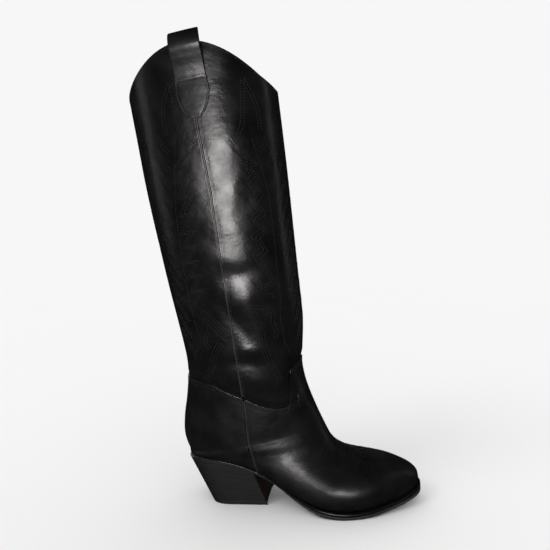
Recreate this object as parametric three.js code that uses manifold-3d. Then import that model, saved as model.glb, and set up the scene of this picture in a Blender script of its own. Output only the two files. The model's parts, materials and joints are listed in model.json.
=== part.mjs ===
// Knee-high western boot for the right foot, pulled on by two straps.
// Millimetres. +X points to the toe, +Y to the inner (medial) side, +Z up.
// The origin is the middle of the heel's ground face.
import * as THREE from 'three';
import * as BufferGeometryUtils from 'three/addons/utils/BufferGeometryUtils.js';
import Module from 'manifold-3d';

const wasm = await Module();
wasm.setup();

// ---- Driving dimensions --------------------------------------------------

const GAP = 0.3;                 // air between pieces that touch
const LATERAL = -1;
const MEDIAL = 1;

// Leather layers, as depths below the outside of the vamp and heel counter.
const COVER = [0, 1.4];          // vamp, heel counter
const MIDDLE = [2.4, 3.4];       // shaft panels, stiffener, toe puff, doubler
const LINING = [4.3, 5.1];
const PIPING = [0.7, 2.0];

// Scalloped rim: a parabola in side view, highest beside the straps.
const RIM_PEAK = 481;
const RIM_PEAK_X = -12;
const RIM_DROP = 0.0078;         // mm of drop per mm squared

const STRAP_WIDTH = 29.5;
const STRAP_THICK = 1.5;
const STRAP_TOP = 489.5;
const STRAP_SEWN_Z = 447;        // cross seam; the strap is free above it
const STRAP_TIP_Z = 410;
const STRAP_INNER_Z = 440;       // end of the strap inside the shaft
const STRAP_STAND_OFF = 6;       // free loop's distance from the shaft
const STRAP_LOOP_BULGE = 3.5;    // how far the loop hangs inwards inside the shaft
const STRAP_ROWS = 24;
const STRAP_COLUMNS = 4;

const PIPING_HALF_WIDTH = 1.6;
const PIPING_ROWS = 14;

const HEEL_BACK = [[0, -29], [61, -57.5]];       // height, x
const HEEL_BREAST = [[0, 28], [42, 16.3]];
const HEEL_HALF_WIDTH = [[0, 24], [58, 27.5]];
const HEEL_SQUARENESS = 2.3;
const HEEL_ROUND = 1.05;         // length of the rounded back, in half widths
const HEEL_BREAST_SHARE = 0.95;  // half width at the breast, in half widths
const HEEL_TURN_STEPS = 14;
const TOP_LIFT_THICK = 5;
const HEEL_LIFT_COUNT = 9;
const HEEL_LIFT_PITCH = 5.6;

// Two sole plates, one on the other. The forepart is thick and stands out
// round the upper; from the waist back both are thin and close to it.
const PLATE_THICK = { forepart: 3.45, waist: 1.3 };
const WELT_MARGIN = { forepart: 5.6, waist: 1.5 };
const OUTSOLE_MARGIN = { forepart: 4.8, waist: 1.2 };
const PLATE_TOE_REACH = 2.2;
const PLATE_HEEL_REACH = 1.4;
const TOE_REACH_STATIONS = 1.5;  // over how many stations each reach grows
const HEEL_REACH_STATIONS = 0.5;
const WAIST_X = 35;
const FOREPART_X = 95;

const SHANK_HALF_WIDTH = 7;
const SCREW_AT = [-12, 0];
const NAILS_AT = [[-36, -10], [-36, 10], [2, -15], [2, 15]];

// The last: section planes that fan from the rim (level) round the ankle to
// the toe (upright). Each joins a front point to a back or bottom point.
// half = half width at its widest, flat = half width of the flat bottom,
// wide = how far up the section is widest, crown and base = squareness of
// the upper and lower curves (2 is an ellipse).
const STATIONS = [
  { front: [60, 500], back: [-93.5, 500], half: [52, 52], flat: [0, 0], wide: 0.5, crown: 2.2, base: 2.2 },
  { front: [64, 440], back: [-89.5, 440], half: [52, 52], flat: [0, 0], wide: 0.5, crown: 2.2, base: 2.2 },
  { front: [68, 380], back: [-83.5, 380], half: [51.5, 51.5], flat: [0, 0], wide: 0.5, crown: 2.2, base: 2.2 },
  { front: [71.5, 315], back: [-76, 315], half: [50, 50], flat: [0, 0], wide: 0.5, crown: 2.2, base: 2.2 },
  { front: [74.5, 255], back: [-67, 255], half: [48, 48], flat: [0, 0], wide: 0.5, crown: 2.2, base: 2.2 },
  { front: [77, 205], back: [-59, 205], half: [45, 45], flat: [0, 0], wide: 0.5, crown: 2.2, base: 2.2 },
  { front: [75, 172], back: [-53, 168], half: [42.5, 42.5], flat: [0, 0], wide: 0.5, crown: 2.2, base: 2.2 },
  { front: [73.5, 154], back: [-53, 143], half: [40, 40], flat: [0, 0], wide: 0.5, crown: 2.15, base: 2.2 },
  { front: [76, 136], back: [-56.5, 120], half: [38.5, 38], flat: [0, 0], wide: 0.52, crown: 2.1, base: 2.2 },
  { front: [81, 119], back: [-61, 98], half: [37.5, 36.5], flat: [0, 0], wide: 0.52, crown: 2.1, base: 2.3 },
  { front: [87, 103], back: [-62.5, 78], half: [37, 36], flat: [0, 0], wide: 0.5, crown: 2, base: 2.4 },
  { front: [91.5, 92], back: [-58.5, 61.5], half: [36, 35.5], flat: [0, 0], wide: 0.47, crown: 2, base: 2.4 },
  { front: [94, 86], back: [-53, 58.5], half: [36, 35], flat: [16, 16], wide: 0.46, crown: 2, base: 2.2 },
  { front: [97, 79], back: [-43, 56.8], half: [36, 35], flat: [23.5, 23.5], wide: 0.46, crown: 2, base: 2.2 },
  { front: [101, 71], back: [-24, 53.5], half: [35.5, 34.5], flat: [26.5, 26], wide: 0.44, crown: 2, base: 2.2 },
  { front: [107, 64], back: [2, 47.5], half: [36, 34], flat: [26, 24.5], wide: 0.42, crown: 2, base: 2.2 },
  { front: [115, 58.5], back: [32, 34.5], half: [39, 35], flat: [26, 22], wide: 0.4, crown: 2, base: 2.2 },
  { front: [124, 55], back: [62, 19], half: [44.5, 39], flat: [34, 30], wide: 0.38, crown: 2, base: 2.2 },
  { front: [134, 52.5], back: [90, 10.3], half: [49, 43], flat: [42, 37], wide: 0.37, crown: 2, base: 2.2 },
  { front: [146, 50], back: [116, 7.3], half: [48.5, 44], flat: [43, 39], wide: 0.38, crown: 2, base: 2.2 },
  { front: [159, 47.5], back: [141, 8.3], half: [41.5, 39.5], flat: [37, 35.5], wide: 0.4, crown: 2, base: 2.3 },
  { front: [172, 43.5], back: [163, 11.5], half: [29, 30], flat: [26, 27], wide: 0.42, crown: 2.1, base: 2.4 },
  { front: [183, 39], back: [179.5, 15], half: [18, 20], flat: [16, 18], wide: 0.44, crown: 2.2, base: 2.5 },
  { front: [190, 33], back: [189.5, 18], half: [8, 10], flat: [7, 9], wide: 0.46, crown: 2.4, base: 2.5 },
  { front: [191.8, 26], back: [191.8, 21], half: [0, 0], flat: [0, 0], wide: 0.5, crown: 2.4, base: 2.5 },
];
const TOE = STATIONS.length - 1;
const HEEL_CORNER = 11;          // last station with no flat bottom

// Side seam, as x against height, from the rim down to the feather line.
const SIDE_SEAM = [[500, -13], [410, -7], [340, 1], [250, 7], [170, 12], [125, 15], [75, 16], [36, 25]];

// Top line of the counter and vamp below the shaft, lateral and medial alike:
// height and x where it is seen from the side.
const COUNTER_LINE = [[146, -53], [143, -25], [137, -9], [127, 15]];
const VAMP_LINE = [[127, 15], [117, 36], [114, 54], [119, 65], [131, 69.5], [146, 68], [156, 69.5]];
const TONGUE_TOP_Z = 162;

// ---- Curves --------------------------------------------------------------

const mix = (a, b, f) => a + (b - a) * f;

// Catmull-Rom value at u along equally spaced knots.
function spline(knots, u) {
  const last = knots.length - 1;
  const i = Math.min(Math.max(Math.floor(u), 0), last - 1);
  const f = Math.min(Math.max(u - i, 0), 1);
  const b = knots[i];
  const c = knots[i + 1];
  const a = i > 0 ? knots[i - 1] : 2 * b - c;
  const d = i < last - 1 ? knots[i + 2] : 2 * c - b;
  return b + 0.5 * f * (c - a + f * (2 * a - 5 * b + 4 * c - d + f * (3 * (b - c) + d - a)));
}

// Value of a falling or rising table of [key, value] pairs, straight between rows.
function lookup(table, key) {
  const rising = table[table.length - 1][0] > table[0][0];
  const rows = rising ? table : [...table].reverse();
  const i = Math.min(Math.max(rows.findIndex((row) => row[0] > key), 1), rows.length - 1);
  const at = key >= rows[rows.length - 1][0] ? rows.length - 1 : i;
  const [k0, v0] = rows[at - 1];
  const [k1, v1] = rows[at];
  return mix(v0, v1, (key - k0) / (k1 - k0));
}

const column = (pick) => STATIONS.map(pick);
const FRONT_X = column((s) => s.front[0]);
const FRONT_Z = column((s) => s.front[1]);
const BACK_X = column((s) => s.back[0]);
const BACK_Z = column((s) => s.back[1]);
const HALF = { [LATERAL]: column((s) => s.half[0]), [MEDIAL]: column((s) => s.half[1]) };
const FLAT = { [LATERAL]: column((s) => s.flat[0]), [MEDIAL]: column((s) => s.flat[1]) };
const WIDE = column((s) => s.wide);
const CROWN = column((s) => s.crown);
const BASE = column((s) => s.base);

const flatAt = (u, side) => Math.max(spline(FLAT[side], u), 0);

// Point of a profile line, moved inwards by depth along its normal.
function profilePoint(xs, zs, u, depth, inwards) {
  const step = 0.02;
  const tx = spline(xs, Math.min(u + step, TOE)) - spline(xs, Math.max(u - step, 0));
  const tz = spline(zs, Math.min(u + step, TOE)) - spline(zs, Math.max(u - step, 0));
  const length = Math.hypot(tx, tz);
  return [
    spline(xs, u) + (inwards * depth * tz) / length,
    spline(zs, u) - (inwards * depth * tx) / length,
  ];
}
const frontPoint = (u, depth) => profilePoint(FRONT_X, FRONT_Z, u, depth, 1);
const backPoint = (u, depth) => profilePoint(BACK_X, BACK_Z, u, depth, -1);

// A point of the boot: u counts stations from rim to toe; t runs from 0 on the
// front ridge to 1 at the back centre or, in the foot, at the feather line.
function skin(u, t, side, depth) {
  const [fx, fz] = frontPoint(u, depth);
  const [bx, bz] = backPoint(u, depth);
  const fullHalf = Math.max(spline(HALF[side], u), 0);
  const half = fullHalf > 0 ? (fullHalf * fullHalf) / (fullHalf + depth) : 0;
  const flat = Math.min(Math.max(flatAt(u, side) - depth, 0), half);
  const wide = spline(WIDE, u);
  const upper = t <= 0.5;
  const turn = (upper ? t : t - 0.5) * Math.PI;
  const c = Math.max(Math.cos(turn), 0);
  const s = Math.max(Math.sin(turn), 0);
  const power = 2 / spline(upper ? CROWN : BASE, u);
  const rise = upper ? wide + (1 - wide) * c ** power : wide * (1 - s ** power);
  const reach = upper ? half * s ** power : flat + (half - flat) * c ** power;
  return [mix(bx, fx, rise), side * reach, mix(bz, fz, rise)];
}

// Where a rising function of t or u crosses zero.
function solve(low, high, wrong) {
  let [a, b] = [low, high];
  for (let i = 0; i < 40; i += 1) {
    const middle = (a + b) / 2;
    if (wrong(middle) > 0) b = middle;
    else a = middle;
  }
  return (a + b) / 2;
}
const tAtX = (u, x, side) => solve(0, 1, (t) => x - skin(u, t, side, 0)[0]);
const uAtHeight = (z, t, side) => solve(0, HEEL_CORNER + 3, (u) => z - skin(u, t, side, 0)[2]);

// [u, t] of the point whose side view is (x, z).
function locate(x, z, side) {
  let u = uAtHeight(z, 0.5, side);
  let t = 0.5;
  for (let i = 0; i < 25; i += 1) {
    t = tAtX(u, x, side);
    u = uAtHeight(z, t, side);
  }
  return [u, t];
}

function sideSeamT(u, side) {
  return solve(0, 1, (t) => {
    const [x, , z] = skin(u, t, side, 0);
    return lookup(SIDE_SEAM, z) - x;
  });
}

// Half the gap between the leathers that meet at the side seam, as t and as u.
const SEAM_GAP_T = 0.005;
const SEAM_GAP_U = 0.03;
const SEAM_FOOT = solve(HEEL_CORNER + 1, 17, (u) => spline(BACK_X, u) - lookup(SIDE_SEAM, spline(BACK_Z, u)));

// u of the rim on the line t.
function rimU(t, side) {
  return solve(0, 3, (u) => {
    const [x, , z] = skin(u, t, side, 0);
    return RIM_PEAK - RIM_DROP * (x - RIM_PEAK_X) ** 2 - z;
  });
}

// Smooth curve through points [u, t], at f from 0 to 1.
function along(points, f) {
  const at = f * (points.length - 1);
  return [0, 1].map((k) => spline(points.map((p) => p[k]), at));
}

const counterLine = {};
const vampLine = {};
for (const side of [LATERAL, MEDIAL]) {
  const seamTop = locate(COUNTER_LINE[3][1], COUNTER_LINE[3][0], side);
  const backTop = [uAtHeight(COUNTER_LINE[0][0], 1, side), 1];
  const between = COUNTER_LINE.slice(1, 3).map(([z, x]) => locate(x, z, side));
  counterLine[side] = [backTop, ...between, seamTop];
  const sides = VAMP_LINE.slice(1).map(([z, x]) => locate(x, z, side));
  vampLine[side] = [seamTop, ...sides, [uAtHeight(TONGUE_TOP_Z, 0, side), 0]];
}

// ---- Shells --------------------------------------------------------------

// Closed sheet between an outer and an inner side. Each patch is a grid whose
// place(i, j) gives the two points; patches that share an edge join there, and
// every free edge gets a wall.
function sheet(patches) {
  const ids = new Map();
  const outer = [];
  const inner = [];
  const faces = [];
  const idOf = ([out, back]) => {
    const key = out.map((v) => Math.round(v * 1000) + 0).join();
    if (!ids.has(key)) {
      ids.set(key, outer.length);
      outer.push(out);
      inner.push(back);
    }
    return ids.get(key);
  };
  for (const { rows, columns, place, flip } of patches) {
    const grid = [];
    for (let i = 0; i <= rows; i += 1) {
      grid.push([]);
      for (let j = 0; j <= columns; j += 1) grid[i].push(idOf(place(i, j)));
    }
    for (let i = 0; i < rows; i += 1) {
      for (let j = 0; j < columns; j += 1) {
        const [a, b, c, d] = [grid[i][j], grid[i + 1][j], grid[i + 1][j + 1], grid[i][j + 1]];
        faces.push(...(flip ? [[a, c, b], [a, d, c]] : [[a, b, c], [a, c, d]]));
      }
    }
  }
  const whole = faces.filter(([a, b, c]) => a !== b && b !== c && c !== a);
  const edges = new Set(whole.flatMap(([a, b, c]) => [`${a},${b}`, `${b},${c}`, `${c},${a}`]));
  const count = outer.length;
  const index = [];
  for (const [a, b, c] of whole) index.push(a, b, c, a + count, c + count, b + count);
  for (const edge of edges) {
    const [a, b] = edge.split(',').map(Number);
    if (!edges.has(`${b},${a}`)) index.push(b, a, a + count, b, a + count, b + count);
  }
  return closed([...outer, ...inner].flat(), index);
}

// Patch of leather between two depths; place(i, j) gives [u, t, side].
function leather(rows, columns, [outer, inner], place, flip = false) {
  const both = (i, j) => {
    const [u, t, side] = place(i, j);
    return [skin(u, t, side, outer), skin(u, t, side, inner)];
  };
  return { rows, columns, place: both, flip };
}

// Geometry with shared vertices merged, flat triangles dropped and, if the
// winding came out inside out, turned over.
function closed(positions, index) {
  const raw = new THREE.BufferGeometry();
  raw.setAttribute('position', new THREE.Float32BufferAttribute(positions, 3));
  raw.setIndex(index);
  const geometry = BufferGeometryUtils.mergeVertices(raw, 1e-3);
  const merged = geometry.index.array;
  const kept = [];
  for (let k = 0; k < merged.length; k += 3) {
    const [a, b, c] = merged.slice(k, k + 3);
    if (a !== b && b !== c && c !== a) kept.push(a, b, c);
  }
  geometry.setIndex(kept);
  if (volume(geometry) < 0) {
    for (let k = 0; k < kept.length; k += 3) [kept[k], kept[k + 1]] = [kept[k + 1], kept[k]];
    geometry.setIndex(kept);
  }
  return geometry;
}

function volume(geometry) {
  const p = geometry.attributes.position;
  const [a, b, c] = [0, 1, 2].map(() => new THREE.Vector3());
  let total = 0;
  for (let k = 0; k < geometry.index.count; k += 3) {
    a.fromBufferAttribute(p, geometry.index.getX(k));
    b.fromBufferAttribute(p, geometry.index.getX(k + 1));
    c.fromBufferAttribute(p, geometry.index.getX(k + 2));
    total += a.dot(b.cross(c)) / 6;
  }
  return total;
}

// Panel of the shaft: t between two seams, u from the rim to a lower line.
// acrossFront says whether it wraps over the front ridge or the back centre.
function shaftPanel(rows, columns, layer, acrossFront, lower, rimInset) {
  const centre = acrossFront ? 0 : 1;
  const seamGap = acrossFront ? -SEAM_GAP_T : SEAM_GAP_T;
  const place = (i, j) => {
    const side = j <= columns / 2 ? LATERAL : MEDIAL;
    const p = Math.abs(1 - (2 * j) / columns);
    const edge = (u) => sideSeamT(u, side) + seamGap;
    const [lowU, lowT] = lower(1 - p, side);
    const rimT = mix(centre, edge(1), p);
    const u = mix(rimU(rimT, side) + rimInset, lowU, (i / rows) ** 0.85);
    const low = (lowT - centre) / (edge(lowU) - centre);
    const share = mix(p, low, i / rows);
    return [u, mix(centre, edge(u), share), side];
  };
  return sheet([leather(rows, columns, layer, place)]);
}

// Lower edges of the front and back panels: the foot's top line lowered by
// drop stations and kept aside from the tongue. f runs from 0 at the side seam
// to 1 at the centre.
const belowVampLine = (drop, aside = 0) => (f, side) => {
  const [u, t] = along(vampLine[side], f);
  return [u + drop, t + aside * Math.sin(Math.PI * f)];
};
const belowCounterLine = (drop) => (f, side) => {
  const [u, t] = along(counterLine[side], 1 - f);
  return [u + drop, t];
};

// The foot's pieces are Coons patches over [u, t], one for each side. Patches
// meet the side seam and the top line at the same points, and the layers of a
// patch share its grid lines, so they stay parallel.
const FOOT_ROWS = 9;             // from the feather line up
const TOP_LINE_COLUMNS = 8;      // of the vamp, from the side seam to the tongue's top
const VAMP_COLUMNS = 20;         // those and the ones along the ridge
const COUNTER_COLUMNS = 8;

function coons(a, b, low, high, start, end) {
  const [lowA, highA] = [low(a), high(a)];
  const [startB, endB] = [start(b), end(b)];
  const corners = [low(0), low(1), high(0), high(1)];
  return [0, 1].map((k) => {
    const ruled = mix(lowA[k], highA[k], b) + mix(startB[k], endB[k], a);
    const corner = mix(mix(corners[0][k], corners[1][k], a), mix(corners[2][k], corners[3][k], a), b);
    return ruled - corner;
  });
}

// Point of the side seam, from the feather line (f = 0) up to the top line.
function seamPoint(f, side, towardsHeel) {
  const foot = SEAM_FOOT - towardsHeel * SEAM_GAP_U;
  const u = mix(foot, vampLine[side][0][0], f ** 1.2);
  return [u, f === 0 ? 1 : sideSeamT(u, side) + towardsHeel * SEAM_GAP_T];
}

// Heel counter: p from 0 at the side seam to 1 at the back centre, q from 0 on
// the feather line to 1 on the top line.
function counterPatch(p, q, side) {
  const low = (f) => [mix(SEAM_FOOT - SEAM_GAP_U, HEEL_CORNER, f), 1];
  const high = (f) => (f === 0 ? seamPoint(1, side, 1) : along(counterLine[side], 1 - f));
  const seam = (f) => seamPoint(f, side, 1);
  const back = (f) => [mix(HEEL_CORNER, counterLine[side][0][0], f), 1];
  const [u, t] = coons(p, q, low, high, seam, back);
  return [u, Math.min(t, 1), side];
}

// Vamp: p from 0 at the side seam to 1 on the front of the toe, q from 0 on the
// feather line to 1 on the top line and then the ridge.
const TOP_LINE_SHARE = TOP_LINE_COLUMNS / VAMP_COLUMNS;
function vampPatch(p, q, side) {
  const tongueU = vampLine[side].at(-1)[0];
  const low = (f) => [mix(SEAM_FOOT + SEAM_GAP_U, TOE, f), 1];
  const high = (f) => {
    if (f === 0) return seamPoint(1, side, -1);
    const g = (f - TOP_LINE_SHARE) / (1 - TOP_LINE_SHARE);
    return g < 0 ? along(vampLine[side], f / TOP_LINE_SHARE) : [mix(tongueU, TOE, g), 0];
  };
  const seam = (f) => seamPoint(f, side, -1);
  const toe = (f) => [TOE, 1 - f];
  const [u, t] = coons(p, q, low, high, seam, toe);
  return [Math.min(u, TOE), Math.min(Math.max(t, 0), 1), side];
}

// Both sides of a patch, between two rows and two columns. The top edge is
// lowered by edgeGap rows where it meets the shaft.
function footSheet(patch, columnCount, layer, [lowRow, highRow], [firstColumn, lastColumn], edgeGap = 0) {
  return sheet([LATERAL, MEDIAL].map((side) => leather(
    highRow - lowRow,
    lastColumn - firstColumn,
    layer,
    (i, j) => {
      const p = (firstColumn + j) / columnCount;
      const onTopLine = lowRow + i === FOOT_ROWS && (patch === counterPatch || p < TOP_LINE_SHARE);
      return patch(p, (lowRow + i - (onTopLine ? edgeGap : 0)) / FOOT_ROWS, side);
    },
    side === MEDIAL,
  )));
}
const counterSheet = (...rest) => footSheet(counterPatch, COUNTER_COLUMNS, ...rest);
const vampSheet = (...rest) => footSheet(vampPatch, VAMP_COLUMNS, ...rest);

// ---- Booleans ------------------------------------------------------------

function solid(geometry) {
  const bare = geometry.clone();
  bare.deleteAttribute('normal');
  bare.deleteAttribute('uv');
  const merged = BufferGeometryUtils.mergeVertices(bare);
  return new wasm.Manifold(new wasm.Mesh({
    numProp: 3,
    vertProperties: new Float32Array(merged.attributes.position.array),
    triVerts: new Uint32Array(merged.index.array),
  }));
}

function geometryOf(manifold) {
  const mesh = manifold.getMesh();
  const geometry = new THREE.BufferGeometry();
  geometry.setAttribute('position', new THREE.Float32BufferAttribute(mesh.vertProperties, 3));
  geometry.setIndex(Array.from(mesh.triVerts));
  return geometry;
}

const cut = (geometry, tools) => geometryOf(tools.reduce((left, tool) => left.subtract(solid(tool)), solid(geometry)));

// Upright cylinder on the Z axis between two heights.
function post(radius, low, high, sides) {
  return new THREE.CylinderGeometry(radius, radius, high - low, sides)
    .rotateX(Math.PI / 2)
    .translate(0, 0, (low + high) / 2);
}

// Closed body through rings of equal length, listed from one end to the other.
function loft(rings) {
  const count = rings[0].length;
  const index = [];
  for (let r = 0; r < rings.length - 1; r += 1) {
    for (let k = 0; k < count; k += 1) {
      const [a, b] = [r * count + k, r * count + ((k + 1) % count)];
      index.push(a, b, b + count, a, b + count, a + count);
    }
  }
  for (const [start, flip] of [[0, true], [(rings.length - 1) * count, false]]) {
    const ring = rings[start / count];
    const flattened = flat2d(ring);
    for (const face of THREE.ShapeUtils.triangulateShape(flattened, [])) {
      const [a, b, c] = face.map((k) => k + start);
      if (flip) index.push(a, c, b);
      else index.push(a, b, c);
    }
  }
  return closed(rings.flat(2), index);
}

// A planar ring's points in two coordinates, for triangulating its cap.
function flat2d(ring) {
  const points = ring.map((p) => new THREE.Vector3(...p));
  const normal = new THREE.Vector3();
  points.forEach((p, k) => normal.add(p.clone().cross(points[(k + 1) % points.length])));
  const across = points[1].clone().sub(points[0]).normalize();
  const up = normal.normalize().clone().cross(across);
  return points.map((p) => new THREE.Vector2(p.dot(across), p.dot(up)));
}

// ---- Bottom pieces -------------------------------------------------------

// Slab that follows the bottom of the foot between stations u0 and u1, from
// height low to high above the feather plane, inset from the feather line.
function floorSlab(u0, u1, steps, low, high, halfWidth) {
  const rings = [];
  for (let i = 0; i <= steps; i += 1) {
    const u = mix(u0, u1, i / steps);
    const [bx, bz] = backPoint(u, low);
    const [tx, tz] = backPoint(u, high);
    const lateral = -halfWidth(u, LATERAL);
    const medial = halfWidth(u, MEDIAL);
    rings.push([[bx, lateral, bz], [bx, medial, bz], [tx, medial, tz], [tx, lateral, tz]]);
  }
  return loft(rings);
}
const insetBy = (inset) => (u, side) => Math.max(flatAt(u, side) - inset, 1);

// Station whose bottom point has this x.
const uAtBottomX = (x) => solve(HEEL_CORNER, TOE, (u) => spline(BACK_X, u) - x);
const seatZ = (x) => spline(BACK_Z, uAtBottomX(x));

const PLATE_STEPS = 22;

// Sole plate between depths measured in plate thicknesses below the feather
// plane, its edge rounded by a share of its thickness.
function solePlate(topPlates, margins, round) {
  const rings = [];
  for (let i = 0; i <= PLATE_STEPS; i += 1) {
    const u = mix(HEEL_CORNER, TOE, i / PLATE_STEPS);
    const forepart = THREE.MathUtils.smoothstep(spline(BACK_X, u), WAIST_X, FOREPART_X);
    const thick = mix(PLATE_THICK.waist, PLATE_THICK.forepart, forepart);
    const margin = mix(margins.waist, margins.forepart, forepart);
    const toe = PLATE_TOE_REACH * THREE.MathUtils.smoothstep(u, TOE - TOE_REACH_STATIONS, TOE);
    const heelEnd = HEEL_CORNER + HEEL_REACH_STATIONS;
    const heel = -PLATE_HEEL_REACH * THREE.MathUtils.smoothstep(-u, -heelEnd, -HEEL_CORNER);
    const x = spline(BACK_X, u) + toe + heel;
    const top = spline(BACK_Z, u) - GAP - topPlates * (thick + GAP);
    const low = Math.max(top - thick, 0);
    const bevel = (top - low) * round;
    const lateral = -(flatAt(u, LATERAL) + margin);
    const medial = flatAt(u, MEDIAL) + margin;
    rings.push([
      [x, lateral + bevel, top], [x, lateral, top - bevel], [x, lateral, low + bevel], [x, lateral + bevel, low],
      [x, medial - bevel, low], [x, medial, low + bevel], [x, medial, top - bevel], [x, medial - bevel, top],
    ]);
  }
  return loft(rings);
}

// Outline of the heel at height z: a U with its flat side at the breast.
function heelOutline(z) {
  const back = lookup(HEEL_BACK, z);
  const breast = lookup(HEEL_BREAST, z);
  const half = lookup(HEEL_HALF_WIDTH, z);
  const reach = half * HEEL_ROUND;
  const corner = half * HEEL_BREAST_SHARE;
  const points = [[breast, -corner, z]];
  for (let k = 0; k <= HEEL_TURN_STEPS; k += 1) {
    const turn = -Math.PI / 2 + (k / HEEL_TURN_STEPS) * Math.PI;
    const power = 2 / HEEL_SQUARENESS;
    const c = Math.abs(Math.cos(turn)) ** power;
    const s = Math.sign(Math.sin(turn)) * Math.abs(Math.sin(turn)) ** power;
    points.push([back + reach * (1 - c), half * s, z]);
  }
  points.push([breast, corner, z]);
  return points;
}

// Everything above the heel seat, to be cut away from the heel. The seat is
// followed between two x and carried on level by a margin at each end.
const SEAT = { start: -57, end: 34, step: 7, margin: 25, height: 120, width: 120, clearance: 0.2 };

function aboveSeat() {
  const shape = new THREE.Shape();
  const under = (x) => seatZ(x) - 2 * PLATE_THICK.waist - 3 * GAP - SEAT.clearance;
  shape.moveTo(SEAT.start - SEAT.margin, SEAT.height);
  shape.lineTo(SEAT.start - SEAT.margin, under(SEAT.start));
  for (let x = SEAT.start; x <= SEAT.end; x += SEAT.step) shape.lineTo(x, under(x));
  shape.lineTo(SEAT.end + SEAT.margin, under(SEAT.end));
  shape.lineTo(SEAT.end + SEAT.margin, SEAT.height);
  return new THREE.ExtrudeGeometry(shape, { depth: SEAT.width, bevelEnabled: false })
    .rotateX(Math.PI / 2)
    .translate(0, SEAT.width / 2, 0);
}

const heelSlice = (low, high) => loft([heelOutline(low), heelOutline(high)]);

const INSOLE_FLOOR = 2.4;        // insole board's underside above the feather plane
const INSOLE_TOP = 4.4;

// Turns and moves a piece made upright at the origin so that it stands square
// on the heel seat at x, y.
function squareToSeat(geometry, [x, y]) {
  const reach = 4;
  const slope = Math.atan2(seatZ(x + reach) - seatZ(x - reach), 2 * reach);
  return geometry.rotateY(-slope).translate(x, y, seatZ(x));
}

// head is a radius too. Heads lie sunk in the insole board and points are
// tapered over a short length.
const SCREW = { radius: 2.4, head: 4.6, length: 34 };
const NAIL = { radius: 1.3, head: 2.6, length: 20 };
const FASTENER_SIDES = 10;
const HEAD_SUNK = 0.5;
const POINT = { length: 3, share: 0.6 };
const HOLE_TOP = 12;
const HEAD_HOLE_DEPTH = 2;

function fastener({ radius, head, length }, at) {
  const headLow = INSOLE_FLOOR;
  const headTop = INSOLE_TOP - HEAD_SUNK;
  const tip = headLow - length;
  const profile = [
    [0, tip], [radius * POINT.share, tip], [radius, tip + POINT.length], [radius, headLow],
    [head, headLow], [head, headTop], [0, headTop],
  ].map(([r, z]) => new THREE.Vector2(r, z));
  return squareToSeat(new THREE.LatheGeometry(profile, FASTENER_SIDES).rotateX(Math.PI / 2), at);
}

const hole = (radius, low, at) => squareToSeat(post(radius + GAP, low, HOLE_TOP, FASTENER_SIDES), at);
const shaftHole = ({ radius, length }, at) => hole(radius, -length, at);
const headHole = ({ head }, at) => hole(head, INSOLE_FLOOR - HEAD_HOLE_DEPTH, at);

// ---- Pull straps ---------------------------------------------------------

// Path of a strap in (depth, height): up the outside, over the rim, down inside.
function strapPath() {
  const outside = PIPING[1] - STRAP_THICK / 2;
  const inside = LINING[1] + 1 + STRAP_THICK / 2;
  const free = outside - STRAP_STAND_OFF;
  const bulge = inside + STRAP_LOOP_BULGE;
  return new THREE.CatmullRomCurve3([
    [outside, STRAP_TIP_Z],
    [outside, mix(STRAP_TIP_Z, STRAP_SEWN_Z, 0.5)],
    [outside, STRAP_SEWN_Z - 4],
    [mix(outside, free, 0.27), STRAP_SEWN_Z + 9],
    [mix(outside, free, 0.78), STRAP_SEWN_Z + 18],
    [free, STRAP_TOP - 13.5],
    [free + 2, STRAP_TOP - 2.5],
    [mix(free, inside, 0.6), STRAP_TOP - STRAP_THICK / 2],
    [bulge - 1, STRAP_TOP - 3],
    [bulge, STRAP_TOP - 13.5],
    [mix(inside, bulge, 0.57), STRAP_INNER_Z + 20],
    [inside, STRAP_INNER_Z],
  ].map(([depth, z]) => new THREE.Vector3(depth, z, 0)), false, 'centripetal');
}

// Half width of the strap at a height: a band that ends in a pointed shield
// on the outside. The shield's curve and its blunt point are shape shares.
const SHIELD = { power: 2.2, swell: 1.18, taper: 0.12, taperFrom: 0.6, point: 0.4 };

function strapHalfWidth(z, outsidePart) {
  if (!outsidePart || z > STRAP_SEWN_Z) return STRAP_WIDTH / 2;
  const f = (z - STRAP_TIP_Z) / (STRAP_SEWN_Z - STRAP_TIP_Z);
  const taper = 1 - SHIELD.taper * THREE.MathUtils.smoothstep(f, SHIELD.taperFrom, 1);
  return (STRAP_WIDTH / 2) * Math.sqrt(1 - (1 - f) ** SHIELD.power) * SHIELD.swell * taper + SHIELD.point;
}

function pullStrap(side) {
  const path = strapPath();
  const facePoint = (centre, tangent, face, across) => {
    const depth = centre.x - (face * tangent.y * STRAP_THICK) / 2;
    const z = centre.y + (face * tangent.x * STRAP_THICK) / 2;
    const x = lookup(SIDE_SEAM, z) + strapHalfWidth(centre.y, centre.x < PIPING[1]) * across;
    const u = uAtHeight(z, 0.5, side);
    return skin(u, tAtX(u, x, side), side, depth);
  };
  const place = (i, j) => {
    const f = (i / STRAP_ROWS) ** 1.15;      // closer rows round the shield's point
    const [centre, tangent] = [path.getPointAt(f), path.getTangentAt(f)];
    const across = (2 * j) / STRAP_COLUMNS - 1;
    return [facePoint(centre, tangent, 1, across), facePoint(centre, tangent, -1, across)];
  };
  return sheet([{ rows: STRAP_ROWS, columns: STRAP_COLUMNS, place, flip: false }]);
}

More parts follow.
